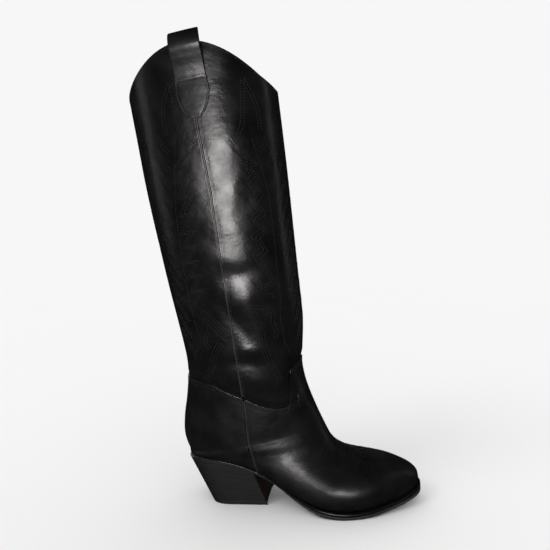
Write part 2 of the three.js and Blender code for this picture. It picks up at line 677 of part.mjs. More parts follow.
// Narrow raised strip over the side seam, from the strap's tip to the top line.
function sidePiping(side) {
  const clearOfStrap = 1.5;
  const clearOfFoot = 0.08;        // in stations
  const top = uAtHeight(STRAP_TIP_Z - clearOfStrap, 0.5, side);
  const bottom = counterLine[side][3][0] - clearOfFoot;
  const place = (i, j) => {
    const u = mix(top, bottom, i / PIPING_ROWS);
    const [x] = skin(u, sideSeamT(u, side), side, 0);
    return [u, tAtX(u, x + (1 - j) * PIPING_HALF_WIDTH, side), side];
  };
  return sheet([leather(PIPING_ROWS, 2, PIPING, place)]);
}

// ---- Assembly ------------------------------------------------------------

const boot = new THREE.Group();

function add(name, geometry, colour, roughness, metalness = 0) {
  const material = new THREE.MeshStandardMaterial({ color: colour, roughness, metalness });
  const mesh = new THREE.Mesh(geometry, material);
  mesh.name = name;
  boot.add(mesh);
}

const BLACK_LEATHER = 0x17171a;
const LINING_LEATHER = 0x2b2725;
const BOARD = 0x8a7355;
const CORK = 0x9c7b4f;
const STEEL = 0x9aa0a6;
const SOLE_BLACK = 0x1b1b1c;
const HEEL_BLACK = 0x202022;

const SHAFT_ROWS = 14;
const LAP = 0.25;                // shaft leather carried on below the top line, in stations
const panel = (layer, acrossFront, lower, rimInset) => {
  const columns = 2 * (acrossFront ? TOP_LINE_COLUMNS : COUNTER_COLUMNS);
  return shaftPanel(SHAFT_ROWS, columns, layer, acrossFront, lower, rimInset);
};
const ALL_ROWS = [0, FOOT_ROWS];
const DOUBLER_ROWS = [2, FOOT_ROWS];
const DOUBLER_COLUMNS = [10, 13];
const PUFF_COLUMNS = [14, VAMP_COLUMNS];
const STIFFENER_ROWS = [2, 6];
const STIFFENER_COLUMNS = [1, COUNTER_COLUMNS];
const LINING_EDGE_GAP = 0.2;

add('vamp', vampSheet(COVER, ALL_ROWS, [0, VAMP_COLUMNS]), BLACK_LEATHER, 0.28);
add('heel_counter', counterSheet(COVER, ALL_ROWS, [0, COUNTER_COLUMNS]), BLACK_LEATHER, 0.28);
add('shaft_front', panel(MIDDLE, true, belowVampLine(LAP), 0), BLACK_LEATHER, 0.3);
add('shaft_back', panel(MIDDLE, false, belowCounterLine(LAP), 0), BLACK_LEATHER, 0.3);
add('shaft_lining_front', panel(LINING, true, belowVampLine(-0.05, 0.025), 0.03), LINING_LEATHER, 0.6);
add('shaft_lining_back', panel(LINING, false, belowCounterLine(-0.03), 0.03), LINING_LEATHER, 0.6);
add('vamp_lining', vampSheet(LINING, ALL_ROWS, [0, VAMP_COLUMNS], LINING_EDGE_GAP), LINING_LEATHER, 0.6);
add('vamp_doubler', vampSheet(MIDDLE, DOUBLER_ROWS, DOUBLER_COLUMNS), LINING_LEATHER, 0.8);
add('toe_puff', vampSheet(MIDDLE, ALL_ROWS, PUFF_COLUMNS), BOARD, 0.8);
add('heel_lining', counterSheet(LINING, [1, FOOT_ROWS], [0, COUNTER_COLUMNS], LINING_EDGE_GAP), LINING_LEATHER, 0.6);
add('heel_stiffener', counterSheet(MIDDLE, STIFFENER_ROWS, STIFFENER_COLUMNS), BOARD, 0.8);
for (const [name, side] of [['lateral', LATERAL], ['medial', MEDIAL]]) {
  add(`side_piping_${name}`, sidePiping(side), BLACK_LEATHER, 0.3);
  add(`pull_strap_${name}`, pullStrap(side), BLACK_LEATHER, 0.32);
}

const screwHole = shaftHole(SCREW, SCREW_AT);
const nailHoles = NAILS_AT.map((at) => shaftHole(NAIL, at));
const headHoles = [headHole(SCREW, SCREW_AT), ...NAILS_AT.map((at) => headHole(NAIL, at))];
const fastenerHoles = [screwHole, ...nailHoles];

const FLOOR_START = uAtBottomX(-48);
const FLOOR_END = 22.3;            // station
const FLOOR_STEPS = 16;
const BOARD_INSET = 6.2;
const SOCK_TOP = INSOLE_TOP + 1.6;
const CORE_TOP = 2;                // of the shank and filler
const CORE_STEPS = 8;
const FILLER_INSET = 7;
const FILLER_END = 21.6;           // station
const insole = floorSlab(FLOOR_START, FLOOR_END, FLOOR_STEPS, INSOLE_FLOOR, INSOLE_TOP, insetBy(BOARD_INSET));
const sock = floorSlab(FLOOR_START, FLOOR_END, FLOOR_STEPS, INSOLE_TOP + GAP, SOCK_TOP, insetBy(BOARD_INSET));
const shank = floorSlab(uAtBottomX(-24), uAtBottomX(74), CORE_STEPS, GAP, CORE_TOP, () => SHANK_HALF_WIDTH);
const filler = floorSlab(uAtBottomX(78), FILLER_END, CORE_STEPS, GAP, CORE_TOP, insetBy(FILLER_INSET));
add('sock_liner', sock, LINING_LEATHER, 0.6);
add('insole_board', cut(insole, headHoles), BOARD, 0.85);
add('shank', cut(shank, [screwHole]), STEEL, 0.35, 0.9);
add('sole_filler', filler, CORK, 0.9);
add('welt_plate', cut(solePlate(0, WELT_MARGIN, 0.3), fastenerHoles), SOLE_BLACK, 0.45);
add('outsole', cut(solePlate(1, OUTSOLE_MARGIN, 0.15), fastenerHoles), SOLE_BLACK, 0.55);

const seatCut = aboveSeat();
for (let k = 0; k < HEEL_LIFT_COUNT; k += 1) {
  const low = TOP_LIFT_THICK + GAP + k * HEEL_LIFT_PITCH;
  const slice = heelSlice(low, low + HEEL_LIFT_PITCH - GAP);
  add(`heel_lift_${k + 1}`, cut(slice, [seatCut, ...fastenerHoles]), HEEL_BLACK, 0.4);
}
add('top_lift', heelSlice(0, TOP_LIFT_THICK), SOLE_BLACK, 0.6);
add('heel_screw', fastener(SCREW, SCREW_AT), STEEL, 0.35, 0.9);
NAILS_AT.forEach((at, k) => add(`heel_nail_${k + 1}`, fastener(NAIL, at), STEEL, 0.4, 0.9));

export default boot;
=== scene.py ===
"""The looks of a black knee-high western boot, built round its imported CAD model.

Lengths are in millimetres until a mesh is made. The boot stands on z = 0 with its toe to +X and its
inner (medial) side to +Y.
"""
import json

import bpy
import numpy as np
from mathutils import Matrix, Vector
from mathutils.kdtree import KDTree


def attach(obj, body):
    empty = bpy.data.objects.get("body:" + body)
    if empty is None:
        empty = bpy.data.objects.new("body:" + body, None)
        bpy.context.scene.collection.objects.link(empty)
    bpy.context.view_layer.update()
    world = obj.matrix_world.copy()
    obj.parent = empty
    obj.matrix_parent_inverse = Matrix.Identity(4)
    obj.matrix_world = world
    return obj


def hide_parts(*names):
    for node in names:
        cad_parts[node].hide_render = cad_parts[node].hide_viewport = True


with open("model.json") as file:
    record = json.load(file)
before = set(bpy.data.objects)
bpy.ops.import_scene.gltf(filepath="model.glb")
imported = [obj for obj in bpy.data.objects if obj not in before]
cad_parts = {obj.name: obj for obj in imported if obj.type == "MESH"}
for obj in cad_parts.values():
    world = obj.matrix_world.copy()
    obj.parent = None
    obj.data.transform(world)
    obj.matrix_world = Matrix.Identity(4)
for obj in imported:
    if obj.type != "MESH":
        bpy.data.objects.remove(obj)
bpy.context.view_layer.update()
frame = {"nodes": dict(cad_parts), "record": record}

MM = 0.001
LATERAL, MEDIAL = -1, 1
SIDES = {"lateral": LATERAL, "medial": MEDIAL}

# ---- The boot's surface ----------------------------------------------------

# Section planes from the rim to the toe: front x, z | back or bottom x, z | half width lateral, medial |
# half width of the flat bottom lateral, medial | height share of the widest line | squareness above, below
STATIONS = np.array([
    (60, 500, -93.5, 500, 52, 52, 0, 0, .50, 2.2, 2.2),
    (64, 440, -89.5, 440, 52, 52, 0, 0, .50, 2.2, 2.2),
    (68, 380, -83.5, 380, 51.5, 51.5, 0, 0, .50, 2.2, 2.2),
    (71.5, 315, -76, 315, 50, 50, 0, 0, .50, 2.2, 2.2),
    (74.5, 255, -67, 255, 48, 48, 0, 0, .50, 2.2, 2.2),
    (77, 205, -59, 205, 45, 45, 0, 0, .50, 2.2, 2.2),
    (75, 172, -53, 168, 42.5, 42.5, 0, 0, .50, 2.2, 2.2),
    (73.5, 154, -53, 143, 40, 40, 0, 0, .50, 2.15, 2.2),
    (76, 136, -56.5, 120, 38.5, 38, 0, 0, .52, 2.1, 2.2),
    (81, 119, -61, 98, 37.5, 36.5, 0, 0, .52, 2.1, 2.3),
    (87, 103, -62.5, 78, 37, 36, 0, 0, .50, 2.0, 2.4),
    (91.5, 92, -58.5, 61.5, 36, 35.5, 0, 0, .47, 2.0, 2.4),
    (94, 86, -53, 58.5, 36, 35, 16, 16, .46, 2.0, 2.2),
    (97, 79, -43, 56.8, 36, 35, 23.5, 23.5, .46, 2.0, 2.2),
    (101, 71, -24, 53.5, 35.5, 34.5, 26.5, 26, .44, 2.0, 2.2),
    (107, 64, 2, 47.5, 36, 34, 26, 24.5, .42, 2.0, 2.2),
    (115, 58.5, 32, 34.5, 39, 35, 26, 22, .40, 2.0, 2.2),
    (124, 55, 62, 19, 44.5, 39, 34, 30, .38, 2.0, 2.2),
    (134, 52.5, 90, 10.3, 49, 43, 42, 37, .37, 2.0, 2.2),
    (146, 50, 116, 7.3, 48.5, 44, 43, 39, .38, 2.0, 2.2),
    (159, 47.5, 141, 8.3, 41.5, 39.5, 37, 35.5, .40, 2.0, 2.3),
    (172, 43.5, 163, 11.5, 29, 30, 26, 27, .42, 2.1, 2.4),
    (183, 39, 179.5, 15, 18, 20, 16, 18, .44, 2.2, 2.5),
    (190, 33, 189.5, 18, 8, 10, 7, 9, .46, 2.4, 2.5),
    (191.8, 26, 191.8, 21, 0, 0, 0, 0, .50, 2.4, 2.5),
])
(FRONT_X, FRONT_Z, BACK_X, BACK_Z, HALF_LATERAL, HALF_MEDIAL, FLAT_LATERAL, FLAT_MEDIAL,
 WIDE, CROWN, BASE) = STATIONS.T
TOE = len(STATIONS) - 1
HEEL_CORNER = 11                 # last station with no flat bottom
SEAT_END = 17.0                  # station in front of the heel

# Side seam: height, x
SIDE_SEAM = [(500, -13), (410, -7), (340, 1), (250, 7), (170, 12), (125, 15), (75, 16), (36, 25)]

# Scalloped rim: a parabola in side view
RIM_PEAK, RIM_PEAK_X, RIM_DROP = 481, -12, 0.0078

# Top line of counter and vamp, from the side: height, x
COUNTER_LINE = [(146, -53), (143, -25), (137, -9), (127, 15)]
VAMP_LINE = [(127, 15), (117, 36), (114, 53), (117, 64), (125, 70), (138, 68.5), (151, 63.5), (157, 69)]
TONGUE_TOP_Z = 162

# Folds and swellings of the leather seen from the side: x, z of the middle, half length, half width,
# slope in degrees, height
FOLDS = [
    (26, 259, 34, 9, 7, -1.15),
    (6, 276, 24, 9, -10, 0.9),
    (28, 234, 22, 13, 14, 1.4),
    (14, 306, 22, 16, -8, 0.8),
    (36, 330, 14, 13, 30, -0.7),
    (24, 346, 15, 12, 0, 0.7),
    (34, 214, 18, 8, -62, 1.3),
    (18, 206, 26, 7, -58, -1.2),
    (46, 196, 20, 7, -64, -0.9),
    (25, 178, 13, 8, 0, 1.0),
    (28, 166, 30, 7, -4, -1.0),
    (30, 146, 27, 12, -4, 1.7),
    (-18, 160, 22, 6, 12, -1.1),
    (-28, 178, 24, 8, 8, 0.9),
    (14, 352, 30, 16, 18, -0.7),
    (22, 392, 22, 20, 0, 0.5),
    (-46, 240, 16, 34, 5, 0.7),
    (56, 330, 14, 36, 5, 0.6),
    (66, 118, 12, 6, -50, 0.9),
    (84, 96, 9, 4, -40, -0.7),
]
MEDIAL_FOLD_SHIFT = 6            # the inner side's folds lie this far further back
MEDIAL_FOLD_RISE = 1.5           # and this many times as far higher
SMOOTH_RIDGE = (4, 26)           # distances from the middle plane between which the folds set in
SMOOTH_FOOT_Z = (70, 120)        # heights between which the folds set in above the foot
SMOOTH_RIM_Z = (485, 455)        # and fade below the rim


def mix(a, b, f):
    return a + (b - a) * f


def smoothstep(low, high, value):
    f = np.clip((value - low) / (high - low), 0, 1)
    return f * f * (3 - 2 * f)


def spline(values, u):
    """Catmull-Rom value at u along equally spaced knots."""
    values = np.asarray(values, float)
    last = len(values) - 1
    u = np.clip(u, 0, last)
    i = np.clip(np.floor(u).astype(int), 0, last - 1)
    f = u - i
    ends = 2 * values[[0, -1]] - values[[1, -2]]
    knots = np.concatenate([ends[:1], values, ends[1:]])
    a, b, c, d = (knots[i + k] for k in range(4))
    return b + f / 2 * (c - a + f * (2 * a - 5 * b + 4 * c - d + f * (3 * (b - c) + d - a)))


def row_dot(p, q):
    """Dot product of each row of p with the same row of q."""
    return np.einsum("ij,ij->i", p, q)


def unit(vectors):
    return vectors / np.linalg.norm(vectors, axis=-1, keepdims=True)


def lengths_along(points):
    """Length of a line from its start to each of its points."""
    return np.concatenate([[0], np.cumsum(np.linalg.norm(np.diff(points, axis=0), axis=1))])


def lookup(rows, key):
    """Value of (key, value) rows, straight between them."""
    keys, values = np.array(sorted(rows), float).T
    return np.interp(key, keys, values)


def bisect(low, high, wrong, rounds=40):
    """Where wrong(), which rises through zero, is zero."""
    low, high = np.array(low, float), np.array(high, float)
    for _ in range(rounds):
        middle = (low + high) / 2
        above = wrong(middle) > 0
        high = np.where(above, middle, high)
        low = np.where(above, low, middle)
    return (low + high) / 2


def profile(xs, zs, u, depth, inwards):
    """Point of the front or back line, moved inwards by depth."""
    low, high = np.maximum(u - 0.02, 0), np.minimum(u + 0.02, TOE)
    tx, tz = spline(xs, high) - spline(xs, low), spline(zs, high) - spline(zs, low)
    length = np.hypot(tx, tz)
    return spline(xs, u) + inwards * depth * tz / length, spline(zs, u) - inwards * depth * tx / length


def by_side(a, lateral, medial):
    return np.where(a < 0, lateral, medial)


def columns_of(values, u):
    """Spline values of each column of a table at u."""
    return np.stack([spline(column, u) for column in values.T], -1)


def skin(u, a, depth=0.0):
    """Point of the smooth boot. u counts stations from rim to toe. The size of a runs from 0 on the front
    ridge to 1 at the back centre or feather line, and its sign is the side."""
    u, a, depth = np.broadcast_arrays(np.asarray(u, float), np.asarray(a, float), np.asarray(depth, float))
    a = np.where(np.abs(a) > 1, (a + 1) % 2 - 1, a)
    t = np.abs(a)
    fx, fz = profile(FRONT_X, FRONT_Z, u, depth, 1)
    bx, bz = profile(BACK_X, BACK_Z, u, depth, -1)
    full = np.maximum(by_side(a, spline(HALF_LATERAL, u), spline(HALF_MEDIAL, u)), 0)
    half = full**2 / np.maximum(full + depth, 1e-6)
    flat = np.maximum(by_side(a, spline(FLAT_LATERAL, u), spline(FLAT_MEDIAL, u)), 0)
    flat = np.minimum(np.maximum(flat - depth, 0), half)
    wide = spline(WIDE, u)
    upper = t <= 0.5
    turn = np.where(upper, t, t - 0.5) * np.pi
    c, s = np.cos(turn).clip(0), np.sin(turn).clip(0)
    power = 2 / np.where(upper, spline(CROWN, u), spline(BASE, u))
    rise = np.where(upper, wide + (1 - wide) * c**power, wide * (1 - s**power))
    reach = np.where(upper, half * s**power, flat + (half - flat) * c**power)
    return np.stack([mix(bx, fx, rise), by_side(a, -reach, reach), mix(bz, fz, rise)], -1)


def swell(point):
    """How far the leather stands out of the smooth boot at a point of it."""
    x, y, z = point[..., 0], point[..., 1], point[..., 2]
    total = 0.35 * np.sin(x / 21 + 0.9) * np.sin(z / 33 + 0.4) + 0.25 * np.sin(z / 17 + y / 29)
    shift = MEDIAL_FOLD_SHIFT * smoothstep(-20, 20, y)
    for cx, cz, length, width, slope, height in FOLDS:
        c, s = np.cos(np.radians(slope)), np.sin(np.radians(slope))
        dx, dz = x - cx + shift, z - cz - MEDIAL_FOLD_RISE * shift
        total = total + height * np.exp(-((dx * c + dz * s) / length) ** 2 - ((dz * c - dx * s) / width) ** 2)
    aside = smoothstep(*SMOOTH_RIDGE, np.abs(y))
    return total * aside * smoothstep(*SMOOTH_FOOT_Z, z) * smoothstep(*SMOOTH_RIM_Z, z)


def leather(u, a, depth=0.0):
    """Point of the boot's leather at a depth below its outside."""
    return skin(u, a, depth - swell(skin(u, a)))


def leather_frame(u, a, depth=0.0):
    """Points of the leather and their outward normals, from small steps to both sides."""
    du, da = 0.01, 0.002
    along = leather(u + du, a, depth) - leather(u - du, a, depth)
    across = leather(u, a + da, depth) - leather(u, a - da, depth)
    normal = np.cross(along, across)
    normal /= np.maximum(np.linalg.norm(normal, axis=-1, keepdims=True), 1e-9)
    return leather(u, a, depth), normal


def seam_t(u, side):
    """Size of a on the side seam."""
    def wrong(t):
        point = skin(u, side * t)
        return lookup(SIDE_SEAM, point[..., 2]) - point[..., 0]
    return bisect(np.zeros_like(u), np.ones_like(u), wrong)


def rim_u(a):
    """u of the rim on the line a."""
    def wrong(u):
        point = skin(u, a)
        return RIM_PEAK - RIM_DROP * (point[..., 0] - RIM_PEAK_X) ** 2 - point[..., 2]
    return bisect(np.zeros_like(a), np.full_like(a, 3.0), wrong)


def u_at_height(z, a):
    z, a = np.broadcast_arrays(np.asarray(z, float), np.asarray(a, float))
    return bisect(np.zeros(z.shape), np.full(z.shape, HEEL_CORNER + 3.0), lambda u: z - skin(u, a)[..., 2])


def a_at_x(u, x, side):
    return side * bisect(np.zeros_like(u), np.ones_like(u), lambda t: x - skin(u, side * t)[..., 0])


def locate(x, z, side):
    """(u, a) of the point whose side view is x, z."""
    a = np.full(np.shape(z), 0.5 * side)
    for _ in range(25):
        u = u_at_height(z, a)
        a = a_at_x(u, x, side)
    return u, a


def line_through(z_x, side):
    z, x = np.array(z_x, float).T
    return np.stack(locate(x, z, side), -1)


def past_seam(u):
    """How far the feather line at u lies in front of the side seam."""
    return spline(BACK_X, u) - lookup(SIDE_SEAM, spline(BACK_Z, u))


seam_foot = float(bisect(HEEL_CORNER + 1.0, SEAT_END, past_seam))
tongue_top = (float(u_at_height(TONGUE_TOP_Z, 0.0)), 0)
counter_line, vamp_line = {}, {}
for side in SIDES.values():
    back_top = (float(u_at_height(COUNTER_LINE[0][0], float(side))), side)
    counter_line[side] = np.vstack([back_top, line_through(COUNTER_LINE[1:], side)])
    vamp_line[side] = np.vstack([line_through(VAMP_LINE, side), tongue_top])


def along_line(points, f):
    """Smooth curve through (u, a) points, at f from 0 to 1."""
    return columns_of(points, np.asarray(f, float) * (len(points) - 1))


# ---- Mesh making -------------------------------------------------------------

scene = bpy.context.scene


def make_object(name, vertices, faces, materials, face_materials=None, sharp_degrees=38):
    """Mesh object from millimetre vertices and triangle or quad faces."""
    mesh = bpy.data.meshes.new(name)
    mesh.from_pydata((np.asarray(vertices, float) * MM).tolist(), [], np.asarray(faces).tolist())
    for material in materials:
        mesh.materials.append(material)
    if face_materials is not None:
        mesh.polygons.foreach_set("material_index", np.asarray(face_materials, np.int32))
    mesh.polygons.foreach_set("use_smooth", np.ones(len(mesh.polygons), bool))
    mesh.set_sharp_from_angle(angle=np.radians(sharp_degrees))
    mesh.update()
    piece = bpy.data.objects.new(name, mesh)
    scene.collection.objects.link(piece)
    return piece


LEATHER_SLOT = "black_leather"


def place_piece(piece, slot, *nodes):
    """Puts a piece on the boot's one body. It stands for the CAD nodes, if any are named."""
    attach(piece, "root")
    if nodes:
        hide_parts(*nodes)


def solid(name, vertices, faces, materials, slot, *nodes):
    """Closed piece, made and placed."""
    place_piece(make_object(name, vertices, outward(vertices, faces), materials), slot, *nodes)


def grid_quads(rows, columns, offset=0):
    """Quads of a grid of rows x columns points."""
    first = np.arange(rows - 1)[:, None] * columns + np.arange(columns - 1)[None, :] + offset
    first = first.ravel()
    return np.stack([first, first + columns, first + columns + 1, first + 1], -1)


def distance_to(points, targets):
    """Distance from each point to the nearest target."""
    tree = KDTree(len(targets))
    for k, target in enumerate(targets):
        tree.insert(target, k)
    tree.balance()
    flat = points.reshape(-1, 3)
    return np.array([tree.find(p)[2] for p in flat]).reshape(points.shape[:-1])


def rounding(away, radius):
    """Drop of a rounded edge at a distance from it."""
    return radius - np.sqrt(np.maximum(radius**2 - np.maximum(radius - away, 0) ** 2, 0))


def pressed(points, grooves):
    """Depth of the stitch grooves at points."""
    return GROOVE_DEPTH * np.exp(-((distance_to(points, grooves) / GROOVE_WIDTH) ** 2))


EDGE_LINES = np.array([0, 0.1, 0.3, 0.6, 1.0])
WELD_STEPS = 400                 # per mm: points of two patches that agree to this are one


def edged(count, length, radius, both=True):
    """Fractions from 0 to 1 with extra lines where an edge of this radius is rounded."""
    near = EDGE_LINES * radius / length
    end = 1 - near[-1] if both else 1
    inner = np.linspace(near[-1], end, count)
    tail = 1 - near[:-1][::-1] if both else []
    return np.concatenate([near[:-1], inner, tail])


def shell(name, patches, outer, inner, material, radius, grooves, free):
    """Leather between two depths. patches are (u, a) grids that share edges. The outer edge is rounded near
    the free points, and stitch grooves are pressed in near the groove points."""
    tops, bottoms, quads = [], [], []
    count = 0
    for u, a in patches:
        base = leather(u, a)
        depth = np.full(u.shape, float(outer))
        depth += rounding(distance_to(base, free), radius) + pressed(base, grooves)
        tops.append(leather(u, a, depth).reshape(-1, 3))
        bottoms.append(leather(u, a, inner).reshape(-1, 3))
        quads.append(grid_quads(*u.shape, offset=count))
        count += u.size
    tops, bottoms, quads = np.concatenate(tops), np.concatenate(bottoms), np.concatenate(quads)
    rounded = np.round(tops * WELD_STEPS).astype(np.int64)
    _, first, ids = np.unique(rounded, axis=0, return_index=True, return_inverse=True)
    tops, bottoms = tops[first], bottoms[first]
    quads = ids.reshape(-1)[quads]
    faces = halved(quads)
    distinct = (faces[:, 0] != faces[:, 1]) & (faces[:, 1] != faces[:, 2]) & (faces[:, 2] != faces[:, 0])
    faces = faces[distinct]
    size = len(tops)
    edges = np.concatenate([faces[:, [0, 1]], faces[:, [1, 2]], faces[:, [2, 0]]])
    open_edges = edges[~np.isin(edges[:, 0] * size + edges[:, 1], edges[:, 1] * size + edges[:, 0])]
    a, b = open_edges.T
    walls = np.concatenate([np.stack([b, a, a + size], -1), np.stack([b, a + size, b + size], -1)])
    vertices = np.concatenate([tops, bottoms])
    triangles = np.concatenate([faces, faces[:, ::-1] + size, walls])
    return make_object(name, vertices, outward(vertices, triangles), [material])


def outward(vertices, triangles):
    """The triangles, turned over if they enclose a negative volume."""
    a, b, c = (vertices[triangles[:, k]] for k in range(3))
    volume = row_dot(a, np.cross(b, c)).sum()
    return triangles if volume > 0 else triangles[:, ::-1]


def halved(quads):
    """Two triangles for each quad."""
    return np.concatenate([quads[:, [0, 1, 2]], quads[:, [0, 2, 3]]])


def ring_quads(count, size):
    """Quads between count closed rings of size points."""
    k = np.arange(size)
    n = (k + 1) % size
    starts = np.arange(count - 1) * size
    return np.concatenate([np.stack([at + k, at + n, at + size + n, at + size + k], -1) for at in starts])


def tube(rings):
    """Vertices and triangles of a closed body through rings of equal length."""
    rings = np.asarray(rings, float)
    count, size = rings.shape[:2]
    vertices = np.concatenate([rings.reshape(-1, 3), rings[[0, -1]].mean(1)])
    k = np.arange(size)
    n = (k + 1) % size
    last, start, end = (count - 1) * size, count * size, count * size + 1
    first_cap = np.stack([np.full(size, start), n, k], -1)
    last_cap = np.stack([np.full(size, end), last + k, last + n], -1)
    return vertices, np.concatenate([halved(ring_quads(count, size)), first_cap, last_cap])


# ---- Stitches ----------------------------------------------------------------

GROOVE_DEPTH, GROOVE_WIDTH = 0.16, 0.9
STITCH_CORNERS = 6               # corners of a thread's section
SEWING = {"coarse": (2.7, 0.36), "fine": (2.3, 0.30)}    # pitch, thread radius

# One stitch along its pitch: place, share of the full radius, lift in radii
STITCH_RING_AT = np.array([0.16, 0.24, 0.38, 0.62, 0.76, 0.84])
STITCH_THICK = np.array([0.45, 0.85, 1.0, 1.0, 0.85, 0.45])
STITCH_LIFT = np.array([-0.6, 0.15, 0.45, 0.45, 0.15, -0.6])


def between(where, at, points):
    """Points at places along a line, straight between its own points, which lie at the places at."""
    return np.stack([np.interp(where, at, column) for column in points.T], -1)


def resample(points, step):
    """Points at an even step along a line, and their number is at least two."""
    at = lengths_along(points)
    count = max(int(round(at[-1] / step)), 1) + 1
    return between(np.linspace(0, at[-1], count), at, points)


def thread(points, normals, pitch, radius):
    """Vertices and triangles of the stitches along one row."""
    at = lengths_along(points)
    count = int(round(at[-1] / pitch))
    if count < 1:
        return None
    pitch = at[-1] / count
    s = (np.arange(count)[:, None] + STITCH_RING_AT[None, :]) * pitch
    centre, normal = between(s, at, points), between(s, at, normals)
    tangent = unit(np.gradient(centre, axis=1))
    across = unit(np.cross(tangent, normal))
    up = np.cross(across, tangent)
    turn = np.arange(STITCH_CORNERS) / STITCH_CORNERS * 2 * np.pi
    centre = centre + up * (STITCH_LIFT * radius)[None, :, None]
    sideways = np.cos(turn)[None, None, :, None] * across[:, :, None]
    upwards = np.sin(turn)[None, None, :, None] * up[:, :, None]
    ring = centre[:, :, None] + radius * STITCH_THICK[None, :, None, None] * (sideways + upwards)
    rings = len(STITCH_RING_AT)
    one = tube(np.zeros((rings, STITCH_CORNERS, 3)))[1]
    size = rings * STITCH_CORNERS + 2
    ends = ring[:, [0, -1]].mean(2)
    vertices = np.concatenate([ring.reshape(count, -1, 3), ends], 1).reshape(-1, 3)
    faces = (one[None] + (np.arange(count) * size)[:, None, None]).reshape(-1, 3)
    return vertices, faces


def sew(name, laid, kind, material):
    """One object with the stitches of all rows, each given as points and normals."""
    pitch, radius = SEWING[kind]
    vertices, faces, count = [], [], 0
    for points, normals in laid:
        made = thread(points, normals, pitch, radius)
        if made is None:
            continue
        vertices.append(made[0])
        faces.append(made[1] + count)
        count += len(made[0])
    vertices, faces = np.concatenate(vertices), np.concatenate(faces)
    solid(name, vertices, faces, [material], LEATHER_SLOT)


def beside(row, offset):
    """(u, a) row moved over the leather, to the left of its direction seen from outside, by mm."""
    u, a = row.T
    points, normals = leather_frame(u, a)
    tangents = unit(np.gradient(points, axis=0))
    target = points + offset * np.cross(normals, tangents)
    step = 1e-3
    for _ in range(4):
        here = leather(u, a)
        along, across = (leather(u + step, a) - here) / step, (leather(u, a + step) - here) / step
        g11, g12, g22 = row_dot(along, along), row_dot(along, across), row_dot(across, across)
        b1, b2 = row_dot(along, target - here), row_dot(across, target - here)
        scale = g11 * g22 - g12**2
        u = u + (b1 * g22 - b2 * g12) / scale
        a = a + (b2 * g11 - b1 * g12) / scale
    return np.stack([u, a], -1)


def groove_points(rows):
    return np.concatenate([resample(leather(row[:, 0], row[:, 1]), 0.8) for row in rows])


class Side:
    """One side of the shaft unrolled: s in mm from the side seam, forwards positive, against height z."""

    def __init__(self, side):
        self.side = side
        self.u = np.linspace(0, HEEL_CORNER, 480)
        self.t = np.linspace(0, 1, 161)
        grid_u, grid_t = np.meshgrid(self.u, self.t, indexing="ij")
        points = skin(grid_u, side * grid_t)
        steps = np.linalg.norm(np.diff(points, axis=1), axis=2)
        arc = np.concatenate([np.zeros((len(self.u), 1)), np.cumsum(steps, 1)], 1)
        seam = seam_t(self.u, side)
        at_seam = np.array([np.interp(seam[k], self.t, arc[k]) for k in range(len(self.u))])
        self.s = at_seam[:, None] - arc
        self.z = points[..., 2]

    def place(self, s_z):
        """(u, a) of points (s, z)."""
        s, z = np.asarray(s_z, float).T
        t = np.array([np.interp(-s, -self.s[k], self.t) for k in range(len(self.u))])
        height = np.array([np.interp(t[k], self.t, self.z[k]) for k in range(len(self.u))])
        out = []
        for k in range(len(s)):
            u = np.interp(-z[k], -height[:, k], self.u)
            out.append((u, self.side * np.interp(u, self.u, t[:, k])))
        return np.array(out)


shaft_sides = {side: Side(side) for side in SIDES.values()}


def shifted(points, offset):
    """A line in a plane moved sideways, to the left of its direction, with its corners mitred."""
    points = np.asarray(points, float)
    steps = unit(np.diff(points, axis=0))
    left = np.stack([-steps[:, 1], steps[:, 0]], -1)
    corner = np.concatenate([left[:1], left[:-1] + left[1:], left[-1:]])
    size = np.linalg.norm(corner, axis=1, keepdims=True)
    corner /= np.maximum(size, 1e-6)
    cosine = np.ones(len(points))
    cosine[1:-1] = row_dot(corner[1:-1], left[1:])
    return points + corner * (offset / np.maximum(cosine, 0.5))[:, None]


def rows_beside(line, offsets):
    return [shifted(line, offset) for offset in offsets]


def zigzag(tips, valleys):
    """One line through the tips and valleys in turn."""
    return [point for pair in zip(tips, valleys) for point in pair]


PATTERN_STEP = 1.2               # distance of the points that carry a row onto the shaft


